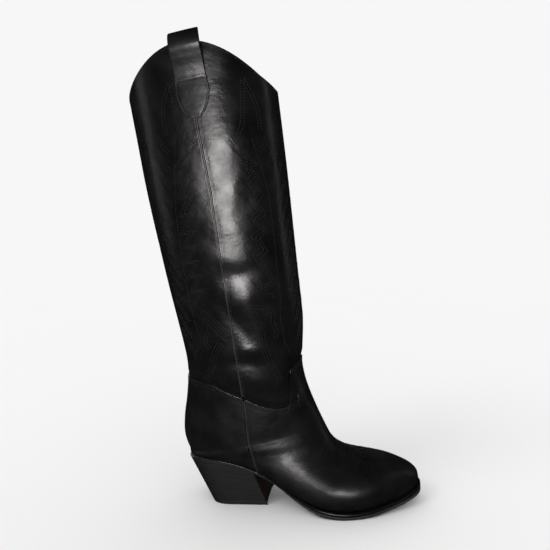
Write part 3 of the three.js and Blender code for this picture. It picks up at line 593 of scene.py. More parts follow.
def shaft_pattern():
    """Rows of decorative stitching in (s, z), the same on both sides of the boot."""
    double = (-1.7, 1.7)
    rows = []
    # front half: a lancet, a lightning column, a plain row and barbs by the front edge
    rows += rows_beside([(49, 444), (46.5, 424), (43, 403), (37, 393), (30, 384)], double)
    rows += rows_beside([(49, 444), (57, 429), (61, 414), (60.5, 396)], double)
    tips = [(29, 382), (34, 365), (35, 349), (36, 331), (35, 314), (33, 296), (31, 277)]
    valleys = [(42, 367), (42, 354), (43, 337), (43, 319), (42, 301), (40, 283), (48, 248)]
    arrow = [(31, 248), (40, 235)]
    bolt = zigzag(tips, valleys) + arrow
    rows += [np.array(bolt) + (shift, -0.4 * shift) for shift in (0, 4.2, 8.4)]
    rows += rows_beside([(19, 226), (34, 224), (45, 218), (43, 208), (46, 198), (43, 188)], double)
    rows += rows_beside([(23, 221), (29, 205), (30, 186), (34, 164), (42, 143)], (-3.2, 0, 3.2))
    rows += [[(49, 389), (54, 362), (57, 332), (57, 294), (56, 263), (55, 234), (52, 211), (53, 184),
              (60, 167)]]
    for k in range(12):
        top = (76 + 2.5 * min(k, 3), 400 - 17.3 * k)
        foot = (top[0] - 18 + 0.5 * k, top[1] - 22 - 0.4 * k)
        rows += rows_beside([top, foot], double)
    # back half
    rows += rows_beside([(-21, 445), (-32, 425), (-34, 410), (-33, 396)], double)
    rows += rows_beside([(-21, 445), (-19, 429), (-19, 408), (-14, 392), (-7, 385)], double)
    tips = [(-7, 385), (-14, 369), (-18, 353), (-17, 338), (-17, 322), (-20, 304), (-18, 290), (-20, 275),
            (-21, 260), (-19, 246)]
    valleys = [(-23, 371), (-27, 355), (-28, 339), (-31, 321), (-32, 303), (-33, 289), (-34, 273), (-33, 259),
               (-32, 243), (-37, 226)]
    rows += [np.array(zigzag(tips, valleys)) + (-shift, -0.4 * shift) for shift in (0, 3.8, 7.6)]
    rows += rows_beside([(-45, 238), (-37, 223), (-22, 213), (-11, 202), (-3, 194)], (-5.1, -1.7, 1.7, 5.1))
    rows += rows_beside([(-13, 189), (-21, 178), (-28, 162), (-38, 145)], (-3, 0, 3))
    rows += rows_beside([(-22, 207), (-31, 189), (-26, 182)], double)
    rows += [[(-25, 392), (-34, 353), (-40, 321), (-41, 304), (-42, 255), (-42, 234), (-40, 210), (-36, 190),
              (-52, 164)]]
    for k in range(13):
        top = (-48 - 3.2 * min(k, 5), 400 - 16.6 * k)
        foot = (top[0] + 13 + 0.4 * k, top[1] - 20 - 0.5 * k)
        rows += rows_beside([top, foot], double)
    return rows


def pattern_rows(side):
    """The decorative rows of one side as (u, a), for the front and the back panel."""
    rows = {"front": [], "back": []}
    for line in shaft_pattern():
        line = np.array(line, float)
        which = "front" if line[:, 0].mean() > 0 else "back"
        rows[which].append(shaft_sides[side].place(resample(line, PATTERN_STEP)))
    return rows


# ---- Foot patches ------------------------------------------------------------

SEAM_GAP_T, SEAM_GAP_U = 0.003, 0.02
TOP_LINE_SHARE = 0.4             # part of the vamp's upper edge that is its top line


def seam_line(f, side, towards_heel):
    """Side seam of the foot, from the feather line up to the top line."""
    f = np.asarray(f, float)
    u = mix(seam_foot - towards_heel * SEAM_GAP_U, vamp_line[side][0][0], f**1.2)
    t = np.where(f <= 0, 1, seam_t(u, side) + towards_heel * SEAM_GAP_T)
    return np.stack([u, side * t], -1)


def coons(p, q, low, high, start, end):
    """Patch between four border curves, for every pair of p and q."""
    p, q = p[None, :, None], q[:, None, None]
    low, high, start, end = low[None], high[None], start[:, None], end[:, None]
    ruled = mix(low, high, q) + mix(start, end, p)
    corner = mix(mix(low[:, :1], low[:, -1:], p), mix(high[:, :1], high[:, -1:], p), q)
    grid = ruled - corner
    return grid[..., 0], grid[..., 1]


def counter_patch(p, q, side):
    """Heel counter from the side seam (p = 0) to the back centre, from the feather line (q = 0) up."""
    low = np.stack([mix(seam_foot - SEAM_GAP_U, HEEL_CORNER, p), np.full_like(p, side)], -1)
    high = along_line(counter_line[side], 1 - p)
    high[0] = seam_line(1.0, side, 1)
    start = seam_line(q, side, 1)
    end = np.stack([mix(HEEL_CORNER, counter_line[side][0][0], q), np.full_like(q, side)], -1)
    u, a = coons(p, q, low, high, start, end)
    return u, side * np.minimum(np.abs(a), 1)


def vamp_patch(p, q, side):
    """Vamp from the side seam (p = 0) to the toe, from the feather line (q = 0) to the top line and ridge."""
    low = np.stack([mix(seam_foot + SEAM_GAP_U, TOE, p), np.full_like(p, side)], -1)
    ridge = (p - TOP_LINE_SHARE) / (1 - TOP_LINE_SHARE)
    on_ridge = np.stack([mix(vamp_line[side][-1][0], TOE, ridge), np.zeros_like(p)], -1)
    on_top_line = along_line(vamp_line[side], np.minimum(p / TOP_LINE_SHARE, 1))
    high = np.where(ridge[:, None] < 0, on_top_line, on_ridge)
    high[0] = seam_line(1.0, side, -1)
    start = seam_line(q, side, -1)
    end = np.stack([np.full_like(q, TOE), side * (1 - q)], -1)
    u, a = coons(p, q, low, high, start, end)
    return np.minimum(u, TOE), side * np.clip(side * a, 0, 1)


# ---- Materials ---------------------------------------------------------------

class Nodes:
    """Short way to build a node material round one Principled shader."""

    def __init__(self, name, colour, roughness, metallic=0.0, specular=0.5, coat=0.0, coat_roughness=0.1):
        self.material = bpy.data.materials.new(name)
        self.material.use_nodes = True
        self.tree = self.material.node_tree
        self.shader = self.tree.nodes["Principled BSDF"]
        values = {"Base Color": (*colour, 1), "Roughness": roughness, "Metallic": metallic,
                  "Specular IOR Level": specular, "Coat Weight": coat, "Coat Roughness": coat_roughness}
        for socket, value in values.items():
            self.shader.inputs[socket].default_value = value
        self.position = self.add("ShaderNodeTexCoord").outputs["Object"]

    def add(self, kind, settings=None, **inputs):
        node = self.tree.nodes.new(kind)
        for key, value in (settings or {}).items():
            setattr(node, key, value)
        for key, value in inputs.items():
            socket = node.inputs[key.replace("_", " ")]
            if isinstance(value, bpy.types.NodeSocket):
                self.tree.links.new(value, socket)
            else:
                socket.default_value = value
        return node

    def link(self, output, socket):
        self.tree.links.new(output, self.shader.inputs[socket])

    def stretched(self, factors):
        """Position multiplied by a factor along each axis."""
        node = self.tree.nodes.new("ShaderNodeVectorMath")
        node.operation = "MULTIPLY"
        self.tree.links.new(self.position, node.inputs[0])
        node.inputs[1].default_value = factors
        return node.outputs[0]

    def noise(self, scale, detail=3.0, factors=(1, 1, 1)):
        return self.add("ShaderNodeTexNoise", Vector=self.stretched(factors), Scale=scale,
                        Detail=detail).outputs["Fac"]

    def cells(self, scale, feature="DISTANCE_TO_EDGE"):
        return self.add("ShaderNodeTexVoronoi", {"feature": feature}, Vector=self.position,
                        Scale=scale).outputs["Distance"]

    def ramp(self, factor, *stops):
        """Maps 0..1 to colours or greys. stops are (place, value)."""
        node = self.add("ShaderNodeValToRGB", Fac=factor)
        elements = node.color_ramp.elements
        while len(elements) < len(stops):
            elements.new(0.5)
        for element, (place, value) in zip(elements, stops):
            element.position = place
            element.color = (*value, 1) if isinstance(value, tuple) else (value, value, value, 1)
        return node.outputs["Color"]

    def bumps(self, *layers):
        """Chains bump nodes. layers are (height, strength, distance in metres)."""
        normal = None
        for height, strength, distance in layers:
            node = self.add("ShaderNodeBump", Height=height, Strength=strength, Distance=distance)
            if normal is not None:
                self.tree.links.new(normal, node.inputs["Normal"])
            normal = node.outputs["Normal"]
        self.link(normal, "Normal")
        if self.shader.inputs["Coat Weight"].default_value > 0:
            self.link(normal, "Coat Normal")


def polished_leather(name, roughness=0.3, coat=0.15, grain=0.5, colour=(0.0035, 0.0035, 0.0042)):
    """Smooth box leather: fine cells, pores, faint creases and slightly uneven polish."""
    m = Nodes(name, colour, roughness, specular=0.42, coat=coat, coat_roughness=0.16)
    shade = tuple(1.9 * c + 0.001 for c in colour)
    m.link(m.ramp(m.noise(38, 5), (0.35, colour), (0.72, shade)), "Base Color")
    m.link(m.ramp(m.noise(55, 6), (0.3, roughness - 0.06), (0.75, roughness + 0.1)), "Roughness")
    m.bumps(
        (m.noise(30, 2), 0.5, 0.0016),
        (m.noise(75, 3), 0.25, 0.0009),
        (m.noise(190, 4, factors=(1.0, 1.0, 1.6)), 0.2, 0.0006),
        (m.cells(900), grain * 0.5, 0.00009),
        (m.noise(2600, 2), grain * 0.35, 0.00006),
    )
    return m.material


def lining_leather(name):
    colour = (0.032, 0.026, 0.023)
    m = Nodes(name, colour, 0.62, specular=0.3)
    m.link(m.ramp(m.noise(60, 5), (0.3, colour), (0.75, (0.055, 0.045, 0.04))), "Base Color")
    m.link(m.ramp(m.noise(90, 4), (0.3, 0.55), (0.7, 0.75)), "Roughness")
    m.bumps((m.noise(90, 3), 0.2, 0.0008), (m.cells(700), 0.5, 0.00015))
    return m.material


THREAD_GREYS = (0.016, 0.016, 0.018), (0.026, 0.026, 0.028), (0.040, 0.040, 0.043)


def waxed_thread(name, shade=1.0, specular=0.35):
    dark, middle, light = (tuple(shade * c for c in grey) for grey in THREAD_GREYS)
    m = Nodes(name, middle, 0.5, specular=specular)
    m.link(m.ramp(m.noise(900, 3), (0.3, dark), (0.7, light)), "Base Color")
    twist = m.add("ShaderNodeTexWave", {"bands_direction": "DIAGONAL"}, Vector=m.position, Scale=900.0,
                  Distortion=1.5).outputs["Fac"]
    m.bumps((twist, 0.5, 0.00012))
    return m.material


def stacked_leather(name, colour=(0.0085, 0.0085, 0.009), roughness=0.46):
    """Dyed and waxed edges of leather layers, with their fibres along the layer."""
    m = Nodes(name, colour, roughness, specular=0.35, coat=0.05, coat_roughness=0.3)
    brighter = tuple(1.6 * c for c in colour)
    fibres = m.noise(60, 6, factors=(1.0, 1.0, 24.0))
    m.link(m.ramp(fibres, (0.3, colour), (0.75, brighter)), "Base Color")
    m.link(m.ramp(m.noise(45, 5, factors=(1.0, 1.0, 14.0)), (0.3, roughness - 0.05), (0.7, roughness + 0.14)),
           "Roughness")
    m.bumps((fibres, 0.2, 0.0003), (m.noise(500, 3), 0.2, 0.00015))
    return m.material


def moulded_rubber(name, colour, roughness):
    m = Nodes(name, colour, roughness, specular=0.35)
    brighter = tuple(1.7 * c + 0.002 for c in colour)
    m.link(m.ramp(m.noise(70, 5), (0.35, colour), (0.75, brighter)), "Base Color")
    m.link(m.ramp(m.noise(120, 4), (0.3, roughness - 0.06), (0.7, roughness + 0.08)), "Roughness")
    m.bumps((m.noise(420, 4), 0.35, 0.0002), (m.noise(60, 2), 0.15, 0.0006))
    return m.material


def pressed_board(name, dark, light):
    m = Nodes(name, dark, 0.85, specular=0.2)
    m.link(m.ramp(m.cells(260, "F1"), (0.1, dark), (0.8, light)), "Base Color")
    m.bumps((m.noise(300, 5), 0.5, 0.0004))
    return m.material


def drawn_steel(name):
    m = Nodes(name, (0.42, 0.43, 0.45), 0.36, metallic=1.0)
    lines = m.noise(300, 3, factors=(0.2, 6.0, 6.0))
    m.link(m.ramp(lines, (0.3, 0.28), (0.7, 0.46)), "Roughness")
    m.bumps((lines, 0.2, 0.0002))
    return m.material


upper_leather = polished_leather("polished_black_leather", roughness=0.27, coat=0.1)
foot_leather = polished_leather("polished_black_foot_leather", roughness=0.36, coat=0.06, grain=0.7)
strap_leather = polished_leather("black_strap_leather", roughness=0.36, coat=0.12, grain=0.6)
# Lighter than the upper's leather: a painted sheen, so the rounded piping and the vamp's folded edge read as
# light lines where the boot lies in shade.
piping_leather_painted_sheen = polished_leather("black_piping_leather_painted_sheen", roughness=0.36, coat=0.2, grain=0.3,
                                  colour=(0.016, 0.015, 0.015))
lining = lining_leather("dark_lining_leather")
thread_material = waxed_thread("waxed_black_thread", shade=0.7)
# A much darker copy of the waxed thread for the toe medallion: painted shade, so its stitches read as the
# dark lines that shade in their grooves would give.
thread_painted_shade = waxed_thread("black_thread_painted_shade", shade=0.1, specular=0.1)
heel_side = stacked_leather("waxed_heel_stack")
heel_breast = stacked_leather("stained_heel_breast", (0.034, 0.013, 0.010), 0.45)
welt_material = stacked_leather("burnished_welt", (0.0045, 0.0045, 0.005), 0.24)
sole_material = moulded_rubber("grey_black_sole", (0.022, 0.022, 0.024), 0.5)
top_lift_material = moulded_rubber("black_top_lift", (0.010, 0.010, 0.011), 0.55)
hidden_materials = {
    "leather_board": pressed_board("brown_leather_board", (0.20, 0.12, 0.07), (0.34, 0.22, 0.13)),
    "stiffener_sheet": pressed_board("tan_stiffener_sheet", (0.30, 0.24, 0.17), (0.44, 0.36, 0.27)),
    "cork": pressed_board("granulated_cork", (0.22, 0.13, 0.06), (0.50, 0.34, 0.19)),
    "doubler_cloth": pressed_board("doubler_cloth", (0.05, 0.045, 0.04), (0.10, 0.09, 0.08)),
    "steel": drawn_steel("plain_steel"),
    "lining_leather": lining,
}

# ---- Uppers ------------------------------------------------------------------

STRAP_WIDTH, STRAP_THICK = 29.5, 1.5
STRAP_TOP, STRAP_SEWN_Z, STRAP_TIP_Z = 489.5, 447, 410      # heights of its fold, cross seam and tip
STRAP_STAND_OFF = 6

# Depths of the leather layers below the outside of the foot
FOOT_LAYER = (0.0, 1.25)
SHAFT_TOP_LAYER = 0.35           # outside of the shaft well above the foot's top line
SHAFT_LAP_LAYER = 1.32           # where it goes in under the foot's leather
SHAFT_THICK = 1.15
LINING_DEPTH = (2.6, 3.5)
RIM_LINING_RISE = 0.9            # the lining meets the shaft leather at the rim
SHAFT_LAP = 0.22                 # stations of shaft leather hidden below the top line
LAP_BLEND = (0.3, 8)             # the shaft comes out between these distances from the top line
RIM_BLEND = (1.3, 0.9)           # stations between which the lining comes out to the rim
SHAFT_EDGE_RADIUS = 0.7
SHAFT_LENGTH, SHAFT_ROUND = 340, 160     # rough sizes of a panel, to place its edge lines
SHAFT_ROWS, LINING_ROWS = 230, 90
LINING_INSET = 0.01              # stations from the rim to the lining's edge
RIM_ROW_DROP = 0.045             # and to the stitch row below it
SIDE_SEAM_ROW = 2.6              # stitch row beside the piping
SIDE_SEAM_FOOT_Z = 128           # where the piping meets the foot's top line


def shaft_grid(which, rows, columns, lower, rim_inset=0.0):
    """(u, a) grid of a shaft panel from rim to lower edge and from seam to seam."""
    front = which == "front"
    centre = 0.0 if front else 1.0
    gap = -SEAM_GAP_T if front else SEAM_GAP_T
    q = edged(rows, SHAFT_LENGTH, SHAFT_EDGE_RADIUS, both=False)[:, None]
    p = edged(columns, SHAFT_ROUND, SHAFT_EDGE_RADIUS)
    grids = []
    for side, part in ((LATERAL, p[p <= 0.5]), (MEDIAL, p[p > 0.5])):
        aside = np.abs(1 - 2 * part)
        low_u, low_a = lower(1 - aside, side).T
        rim_t = mix(centre, float(seam_t(np.array(1.0), side)) + gap, aside)
        u = mix(rim_u(side * rim_t) + rim_inset, low_u, q)
        low_share = (np.abs(low_a) - centre) / (seam_t(low_u, side) + gap - centre)
        grids.append((u, side * mix(centre, seam_t(u, side) + gap, mix(aside, low_share, q))))
    u, a = (np.concatenate([grid[k] for grid in grids], axis=1) for k in (0, 1))
    return u, a if front else np.where(a > 0, a - 2, a)


# Smooth line that the shaft's front panel follows under the vamp: height, x
SHAFT_FOOT_LINE = [(127, 15), (117, 36), (114, 54), (119, 65), (131, 69.5), (146, 68), (156, 69.5)]
shaft_foot = {}
for side in SIDES.values():
    shaft_foot[side] = np.vstack([line_through(SHAFT_FOOT_LINE, side), tongue_top])


def below_vamp(f, side):
    return along_line(shaft_foot[side], f) + (SHAFT_LAP, 0)


def below_counter(f, side):
    return along_line(counter_line[side], 1 - f) + (SHAFT_LAP, 0)


EDGE_POINTS = 220                # along each edge of a foot piece

# Columns of the leather and of the lining, and the lower edge
SHAFT_PANELS = {"front": (118, 70, below_vamp), "back": (128, 76, below_counter)}


def top_line(patch, side):
    """(u, a) row along the upper edge of a foot piece, towards the toe."""
    lines = vamp_line if patch is vamp_patch else counter_line
    return along_line(lines[side], np.linspace(0, 1, EDGE_POINTS))


def patch_edge(patch, side):
    """Points of a foot piece's top line and side seam."""
    u, a = patch(np.array([0.0, 1.0]), np.linspace(0.15, 1, EDGE_POINTS), side)
    return np.concatenate([leather(*top_line(patch, side).T), leather(u[:, 0], a[:, 0])])


def foot_edges(patch):
    return np.concatenate([patch_edge(patch, side) for side in SIDES.values()])


def foot_grids(patch, rows, columns):
    """(u, a) grids of both sides of a foot piece, finer near its side seam and its top line."""
    edge_q, edge_p = 0.018, 0.009
    q = np.concatenate([np.linspace(0, 1 - edge_q, rows), 1 - edge_q * np.array([0.6, 0.3, 0.12, 0])])
    p = np.concatenate([edge_p * np.array([0, 0.15, 0.4]), np.linspace(edge_p, 1, columns)])
    if patch is vamp_patch:
        p = np.sort(np.append(p, TOP_LINE_SHARE))
    lateral = patch(p, q, LATERAL)
    medial = [grid[:, ::-1] for grid in patch(p, q, MEDIAL)]
    return [lateral, medial]


def grid_border(u, a):
    """Points of a grid's rim and side edges."""
    return np.concatenate([leather(u[0], a[0]), leather(u[:, 0], a[:, 0]), leather(u[:, -1], a[:, -1])])


FAR = 150                        # beyond the shaft in front and behind


def under_foot(points, patch):
    """Whether points of the shaft lie behind a patch of the foot in side view."""
    edge = leather(*top_line(patch, LATERAL).T)[:, [0, 2]]
    if patch is vamp_patch:
        far = [(FAR, edge[-1, 1]), (FAR, 0), (edge[0, 0], 0)]
    else:
        far = [(edge[-1, 0], 0), (-FAR, 0), (-FAR, edge[0, 1])]
    outline = np.vstack([edge, far])
    x, z = points[..., 0], points[..., 2]
    inside = np.zeros(x.shape, bool)
    for (x0, z0), (x1, z1) in zip(outline, np.roll(outline, -1, axis=0)):
        if z0 != z1:
            crosses = (z0 > z) != (z1 > z)
            inside ^= crosses & (x < x0 + (z - z0) * (x1 - x0) / (z1 - z0))
    return inside


def shaft_leather(which, grooves):
    """Outer leather of a shaft panel. It dips under the foot's leather below its top line."""
    columns, _, lower = SHAFT_PANELS[which]
    u, a = shaft_grid(which, SHAFT_ROWS, columns, lower)
    base = leather(u, a)
    patch = vamp_patch if which == "front" else counter_patch
    away = np.where(under_foot(base, patch), 0, distance_to(base, foot_edges(patch)))
    depth = mix(SHAFT_LAP_LAYER, SHAFT_TOP_LAYER, smoothstep(*LAP_BLEND, away))
    edge_drop = rounding(distance_to(base, grid_border(u, a)), SHAFT_EDGE_RADIUS)
    top = leather(u, a, depth + edge_drop + pressed(base, grooves))
    bottom = leather(u, a, depth + SHAFT_THICK)
    solid(f"shaft_{which}_leather", *slab(top, bottom), [upper_leather], LEATHER_SLOT, f"shaft_{which}")


def shaft_lining(which):
    _, columns, lower = SHAFT_PANELS[which]

    def end(f, side):
        return lower(f, side) - (SHAFT_LAP, 0)

    u, a = shaft_grid(which, LINING_ROWS, columns, end, LINING_INSET)
    rise = RIM_LINING_RISE * smoothstep(*RIM_BLEND, u)
    top, bottom = (leather(u, a, depth - rise) for depth in LINING_DEPTH)
    solid(f"lining_{which}", *slab(top, bottom), [lining], "lining_leather", f"shaft_lining_{which}")


def slab(top, bottom):
    """Vertices and triangles of the closed sheet between two grids of points."""
    rows, columns = top.shape[:2]
    size = rows * columns
    quads = grid_quads(rows, columns)
    ids = np.arange(size).reshape(rows, columns)
    border = np.concatenate([ids[0, :-1], ids[:-1, -1], ids[-1, :0:-1], ids[:0:-1, 0]])
    following = np.roll(border, -1)
    walls = np.stack([following, border, border + size, following + size], -1)
    vertices = np.concatenate([top.reshape(-1, 3), bottom.reshape(-1, 3)])
    quads = np.concatenate([quads, quads[:, ::-1] + size, walls[:, ::-1]])
    return vertices, halved(quads)


def rim_row(side):
    t = np.linspace(0, 1, 260)
    return np.stack([rim_u(side * t) + RIM_ROW_DROP, side * t], -1)


def side_seam_row(side):
    z = np.linspace(STRAP_TIP_Z + 4, SIDE_SEAM_FOOT_Z + 1, 300)
    return shaft_sides[side].place(np.stack([np.full_like(z, SIDE_SEAM_ROW), z], -1))


def sew_layer(name, rows, layer, kind, material=thread_material):
    """Stitches in the grooves of a leather layer, along (u, a) rows."""
    sew(name, [leather_frame(*row.T, layer + GROOVE_DEPTH) for row in rows], kind, material)


shaft_patterns = [pattern_rows(side) for side in SIDES.values()]
decorative_rows = {which: [row for rows in shaft_patterns for row in rows[which]] for which in SHAFT_PANELS}
rim_rows = [rim_row(side) for side in SIDES.values()]
seam_rows = [side_seam_row(side) for side in SIDES.values()]
shaft_leather("front", groove_points(decorative_rows["front"] + seam_rows + rim_rows))
shaft_leather("back", groove_points(decorative_rows["back"] + rim_rows))
for which, rows in decorative_rows.items():
    sew_layer(f"decorative_stitches_{which}", rows, SHAFT_TOP_LAYER, "coarse")
sew_layer("rim_stitches", rim_rows, SHAFT_TOP_LAYER, "fine")
sew_layer("side_seam_stitches", seam_rows, SHAFT_TOP_LAYER, "fine")
for which in SHAFT_PANELS:
    shaft_lining(which)

# ---- Foot --------------------------------------------------------------------

FOOT_EDGE_RADIUS = 0.9
TOP_LINE_ROWS = (2.0, 4.8)       # distance of the stitch rows from the top line
SIDE_ROW = 2.2                   # and of the vamp's row from the side seam
ROW_END_POINTS = 3               # points that the rows stop short of the side seam
STATION_LENGTH = 12              # rough distance between the toe's stations, to space its rows' points


def top_line_rows(patch):
    kept = slice(ROW_END_POINTS, None) if patch is vamp_patch else slice(None, -ROW_END_POINTS)
    return [beside(top_line(patch, side)[kept], side * offset)
            for side in SIDES.values() for offset in TOP_LINE_ROWS]


def medallion_pattern():
    """Toe stitching in (u, distance in mm from the ridge)."""
    rows = [[(13.6 + 0.28 * k, 0.6), (15.75 + 0.14 * k, 41 - 0.4 * k)] for k in range(6)]
    rows += [
        [(15.3, 0.6), (15.55, 6), (15.35, 11), (16.0, 15), (15.8, 20), (16.3, 24), (16.1, 30), (16.75, 34)],
        [(15.6, 0.6), (16.1, 9), (15.95, 13)],
    ]
    rows += [[(16.0 + 0.23 * k, 0.6), (17.2 + 0.16 * k, 37)] for k in range(4)]
    rows += [
        [(16.85, 0.6), (17.3, 6), (18.1, 14)],
        [(17.75, 0.6), (18.15, 6), (18.1, 14)],
        [(17.15, 10), (17.6, 9.5), (18.1, 14), (18.7, 14.5)],
    ]
    turn = np.linspace(0, 2 * np.pi, 40)
    for centre, half_u, half_w, lean in ((17.85, 0.30, 11.5, 0.020), (18.55, 0.27, 11.5, 0.018),
                                         (16.45, 0.18, 7.5, 0.026)):
        across = half_w * np.cos(turn)
        rows.append(np.stack([centre + lean * across + half_u * np.sin(turn), 26 + across], -1))
    u = 18.9 + 0.78 * np.cos(turn)
    rows.append(np.stack([u, 12.5 - 1.8 * (u - 18.9) + 2.4 * np.sin(turn)], -1))
    return rows


def medallion(side):
    """The toe stitching as (u, a) rows on one side of the ridge."""
    t = np.linspace(0, 0.6, 90)
    placed = []
    for row in medallion_pattern():
        row = resample(np.array(row, float) * (STATION_LENGTH, 1), 1.0) / (STATION_LENGTH, 1)
        arcs = [lengths_along(skin(np.full_like(t, u), side * t)) for u in row[:, 0]]
        placed.append(np.array([(u, side * np.interp(w, arc, t)) for (u, w), arc in zip(row, arcs)]))
    return placed


def foot_leather_piece(name, node, patch, rows, columns, grooves):
    piece = shell(name, foot_grids(patch, rows, columns), *FOOT_LAYER, foot_leather, FOOT_EDGE_RADIUS,
                  groove_points(grooves), foot_edges(patch))
    place_piece(piece, LEATHER_SLOT, node)


vamp_rows = top_line_rows(vamp_patch)
counter_rows = top_line_rows(counter_patch)
foot_seam_rows = [beside(seam_line(np.linspace(0.1, 0.97, 90), side, -1), side * SIDE_ROW)
                  for side in SIDES.values()]
medallion_rows = medallion(LATERAL) + medallion(MEDIAL)
foot_leather_piece("vamp_leather", "vamp", vamp_patch, 84, 200, vamp_rows + medallion_rows + foot_seam_rows)
foot_leather_piece("heel_counter_leather", "heel_counter", counter_patch, 78, 76, counter_rows)
sew_layer("vamp_top_stitches", vamp_rows, FOOT_LAYER[0], "fine")
sew_layer("counter_top_stitches", counter_rows, FOOT_LAYER[0], "fine")
sew_layer("vamp_side_stitches", foot_seam_rows, FOOT_LAYER[0], "fine")
# The medallion's stitches use the thread with painted shade.
sew_layer("toe_medallion_stitches", medallion_rows, FOOT_LAYER[0], "coarse", thread_painted_shade)

# ---- Side piping -------------------------------------------------------------

SIDE_BEAD = (1.1, 0.6)           # half width and height of the piping
EDGE_BEAD = (1.05, 0.5)          # and of the vamp's folded edge
EDGE_BEAD_SHIFT = 0.3            # its middle lies this far from the seam, towards the toe
EDGE_BEAD_DEPTH = 0.15           # and this far below the outside of the leather
BEAD_ROOT = 0.35                 # how far a bead goes on below the leather it lies on
PIPING_SPACING = 1.2


def along_seam(side, low, high):
    """(u, a) row on the shaft's side seam, between two heights."""
    z = np.arange(high, low, -PIPING_SPACING)
    return shaft_sides[side].place(np.stack([np.zeros_like(z), z], -1))


def half_round(width, height, root, count=9):
    """Section of a bead: points (across, up) of its back, then its root below the leather."""
    turn = np.linspace(0, np.pi, count)
    back = np.stack([width * np.cos(turn), height * np.sin(turn)], -1)
    return np.vstack([back, [(-width, -root), (width, -root)]])


def bead(name, row, depth, size, *nodes):
    """Raised cord along a (u, a) row."""
    points, normals = leather_frame(row[:, 0], row[:, 1], depth)
    tangents = unit(np.gradient(points, axis=0))
    across = np.cross(tangents, normals)
    section = half_round(*size, BEAD_ROOT)
    rings = points[:, None] + section[None, :, :1] * across[:, None] + section[None, :, 1:] * normals[:, None]
    # The bead's leather carries a painted sheen in its base colour.
    solid(name, *tube(rings), [piping_leather_painted_sheen], LEATHER_SLOT, *nodes)


for name, side in SIDES.items():
    row = along_seam(side, SIDE_SEAM_FOOT_Z, STRAP_TIP_Z + 6)
    bead(f"side_seam_piping_{name}", row, SHAFT_TOP_LAYER, SIDE_BEAD, f"side_piping_{name}")
    edge = beside(seam_line(np.linspace(0.02, 0.985, 90), side, -1), side * EDGE_BEAD_SHIFT)
    bead(f"vamp_folded_edge_{name}", edge, EDGE_BEAD_DEPTH, EDGE_BEAD)

# ---- Pull straps -------------------------------------------------------------

STRAP_OUTSIDE = -0.4             # depth of its middle where it is sewn to the shaft
STRAP_INSIDE = 4.5
STRAP_FREE = STRAP_OUTSIDE - STRAP_STAND_OFF     # depth of its outer run where it stands off
STRAP_BULGE = 8.0                # and of its inner run
STRAP_INNER_Z = 440              # end of the strap inside the shaft
STRAP_TILT = 0.125               # its cross lines rise towards the toe
STRAP_STEP = 0.9
SHIELD_POWER, SHIELD_SWELL, SHIELD_TAPER = 2.2, 1.18, 0.12
SHIELD_TIP_HALF_WIDTH = 0.4
SHIELD_STITCH_INSET = 2.4
SHIELD_STITCH_ENDS = (3.4, 1.5)  # its edge row stays this far above the tip and below the cross seam
CROSS_ROW_INSET = 1.6            # the rows across end this far from the strap's edge
FACE_INSET = 0.8                 # no grooves this close to the edge
SHIELD_CROSS_ROWS = (-1.2, 1.4)  # heights of the rows across its top, from STRAP_SEWN_Z
LOOP_NARROWING = 0.94            # width of the strap at its fold


def strap_path():
    """Strap's middle line in (depth, height) at an even step, with unit tangents."""
    sewn = [(STRAP_OUTSIDE, mix(STRAP_TIP_Z, STRAP_SEWN_Z, f)) for f in (0, 0.33, 0.67, 1)]
    leaving = [(mix(STRAP_OUTSIDE, STRAP_FREE, f), STRAP_SEWN_Z + up) for f, up in ((0.25, 10), (0.7, 20))]
    fold = [(STRAP_FREE, 14), (STRAP_FREE + 1.2, 4), (STRAP_FREE + 4, 0.9),
            (STRAP_INSIDE - 2, 0.9), (STRAP_BULGE - 0.8, 4), (STRAP_BULGE, 14)]
    fold = [(depth, STRAP_TOP - drop) for depth, drop in fold]
    inside = [(mix(STRAP_INSIDE, STRAP_BULGE, 0.6), STRAP_INNER_Z + 20), (STRAP_INSIDE, STRAP_INNER_Z)]
    knots = np.array(sewn + leaving + fold + inside)
    line = resample(columns_of(knots, np.linspace(0, len(knots) - 1, 600)), STRAP_STEP)
    return line, unit(np.gradient(line, axis=0))


def strap_half_width(z, outside):
    """Half width of a strap at height z: a shield where it is sewn on outside, else a band."""
    f = np.clip((z - STRAP_TIP_Z) / (STRAP_SEWN_Z - STRAP_TIP_Z), 0, 1)
    taper = 1 - SHIELD_TAPER * smoothstep(0.6, 1, f)
    shield = STRAP_WIDTH / 2 * np.sqrt(1 - (1 - f) ** SHIELD_POWER) * SHIELD_SWELL * taper
    shield = shield + SHIELD_TIP_HALF_WIDTH
    narrowing = smoothstep(STRAP_SEWN_Z, STRAP_TOP - 8, z)
    band = STRAP_WIDTH / 2 * mix(SHIELD_SWELL * (1 - SHIELD_TAPER), LOOP_NARROWING, narrowing)
    return np.where(outside & (z < STRAP_SEWN_Z), shield, band)


def strap_point(side, line, tangents, across, up):
    """Points of a strap: across in mm from its middle, up in mm out of its middle layer."""
    depth = line[:, None, 0] - up * tangents[:, None, 1]
    z = line[:, None, 1] + up * tangents[:, None, 0] + STRAP_TILT * across
    x = lookup(SIDE_SEAM, z) + across
    u = u_at_height(z, 0.5 * side)
    return leather(u, a_at_x(u, x, side), depth)


def edge_section(half_width, half_thick, across_count):
    """Closed section (across, up) of a strap with rounded edges, for one or many widths."""
    half_width = np.asarray(half_width, float)[..., None]
    turn = np.linspace(-np.pi / 2, np.pi / 2, 7)
    flat = np.linspace(-1, 1, across_count)
    core = half_width - half_thick
    across = np.concatenate([core + half_thick * np.cos(turn), core * -flat[1:-1],
                             -core - half_thick * np.cos(turn), core * flat[1:-1]], -1)
    ups = np.concatenate([half_thick * np.sin(turn), np.full(across_count - 2, half_thick),
                          half_thick * np.sin(turn[::-1]), np.full(across_count - 2, -half_thick)])
    return across, np.broadcast_to(ups, across.shape)


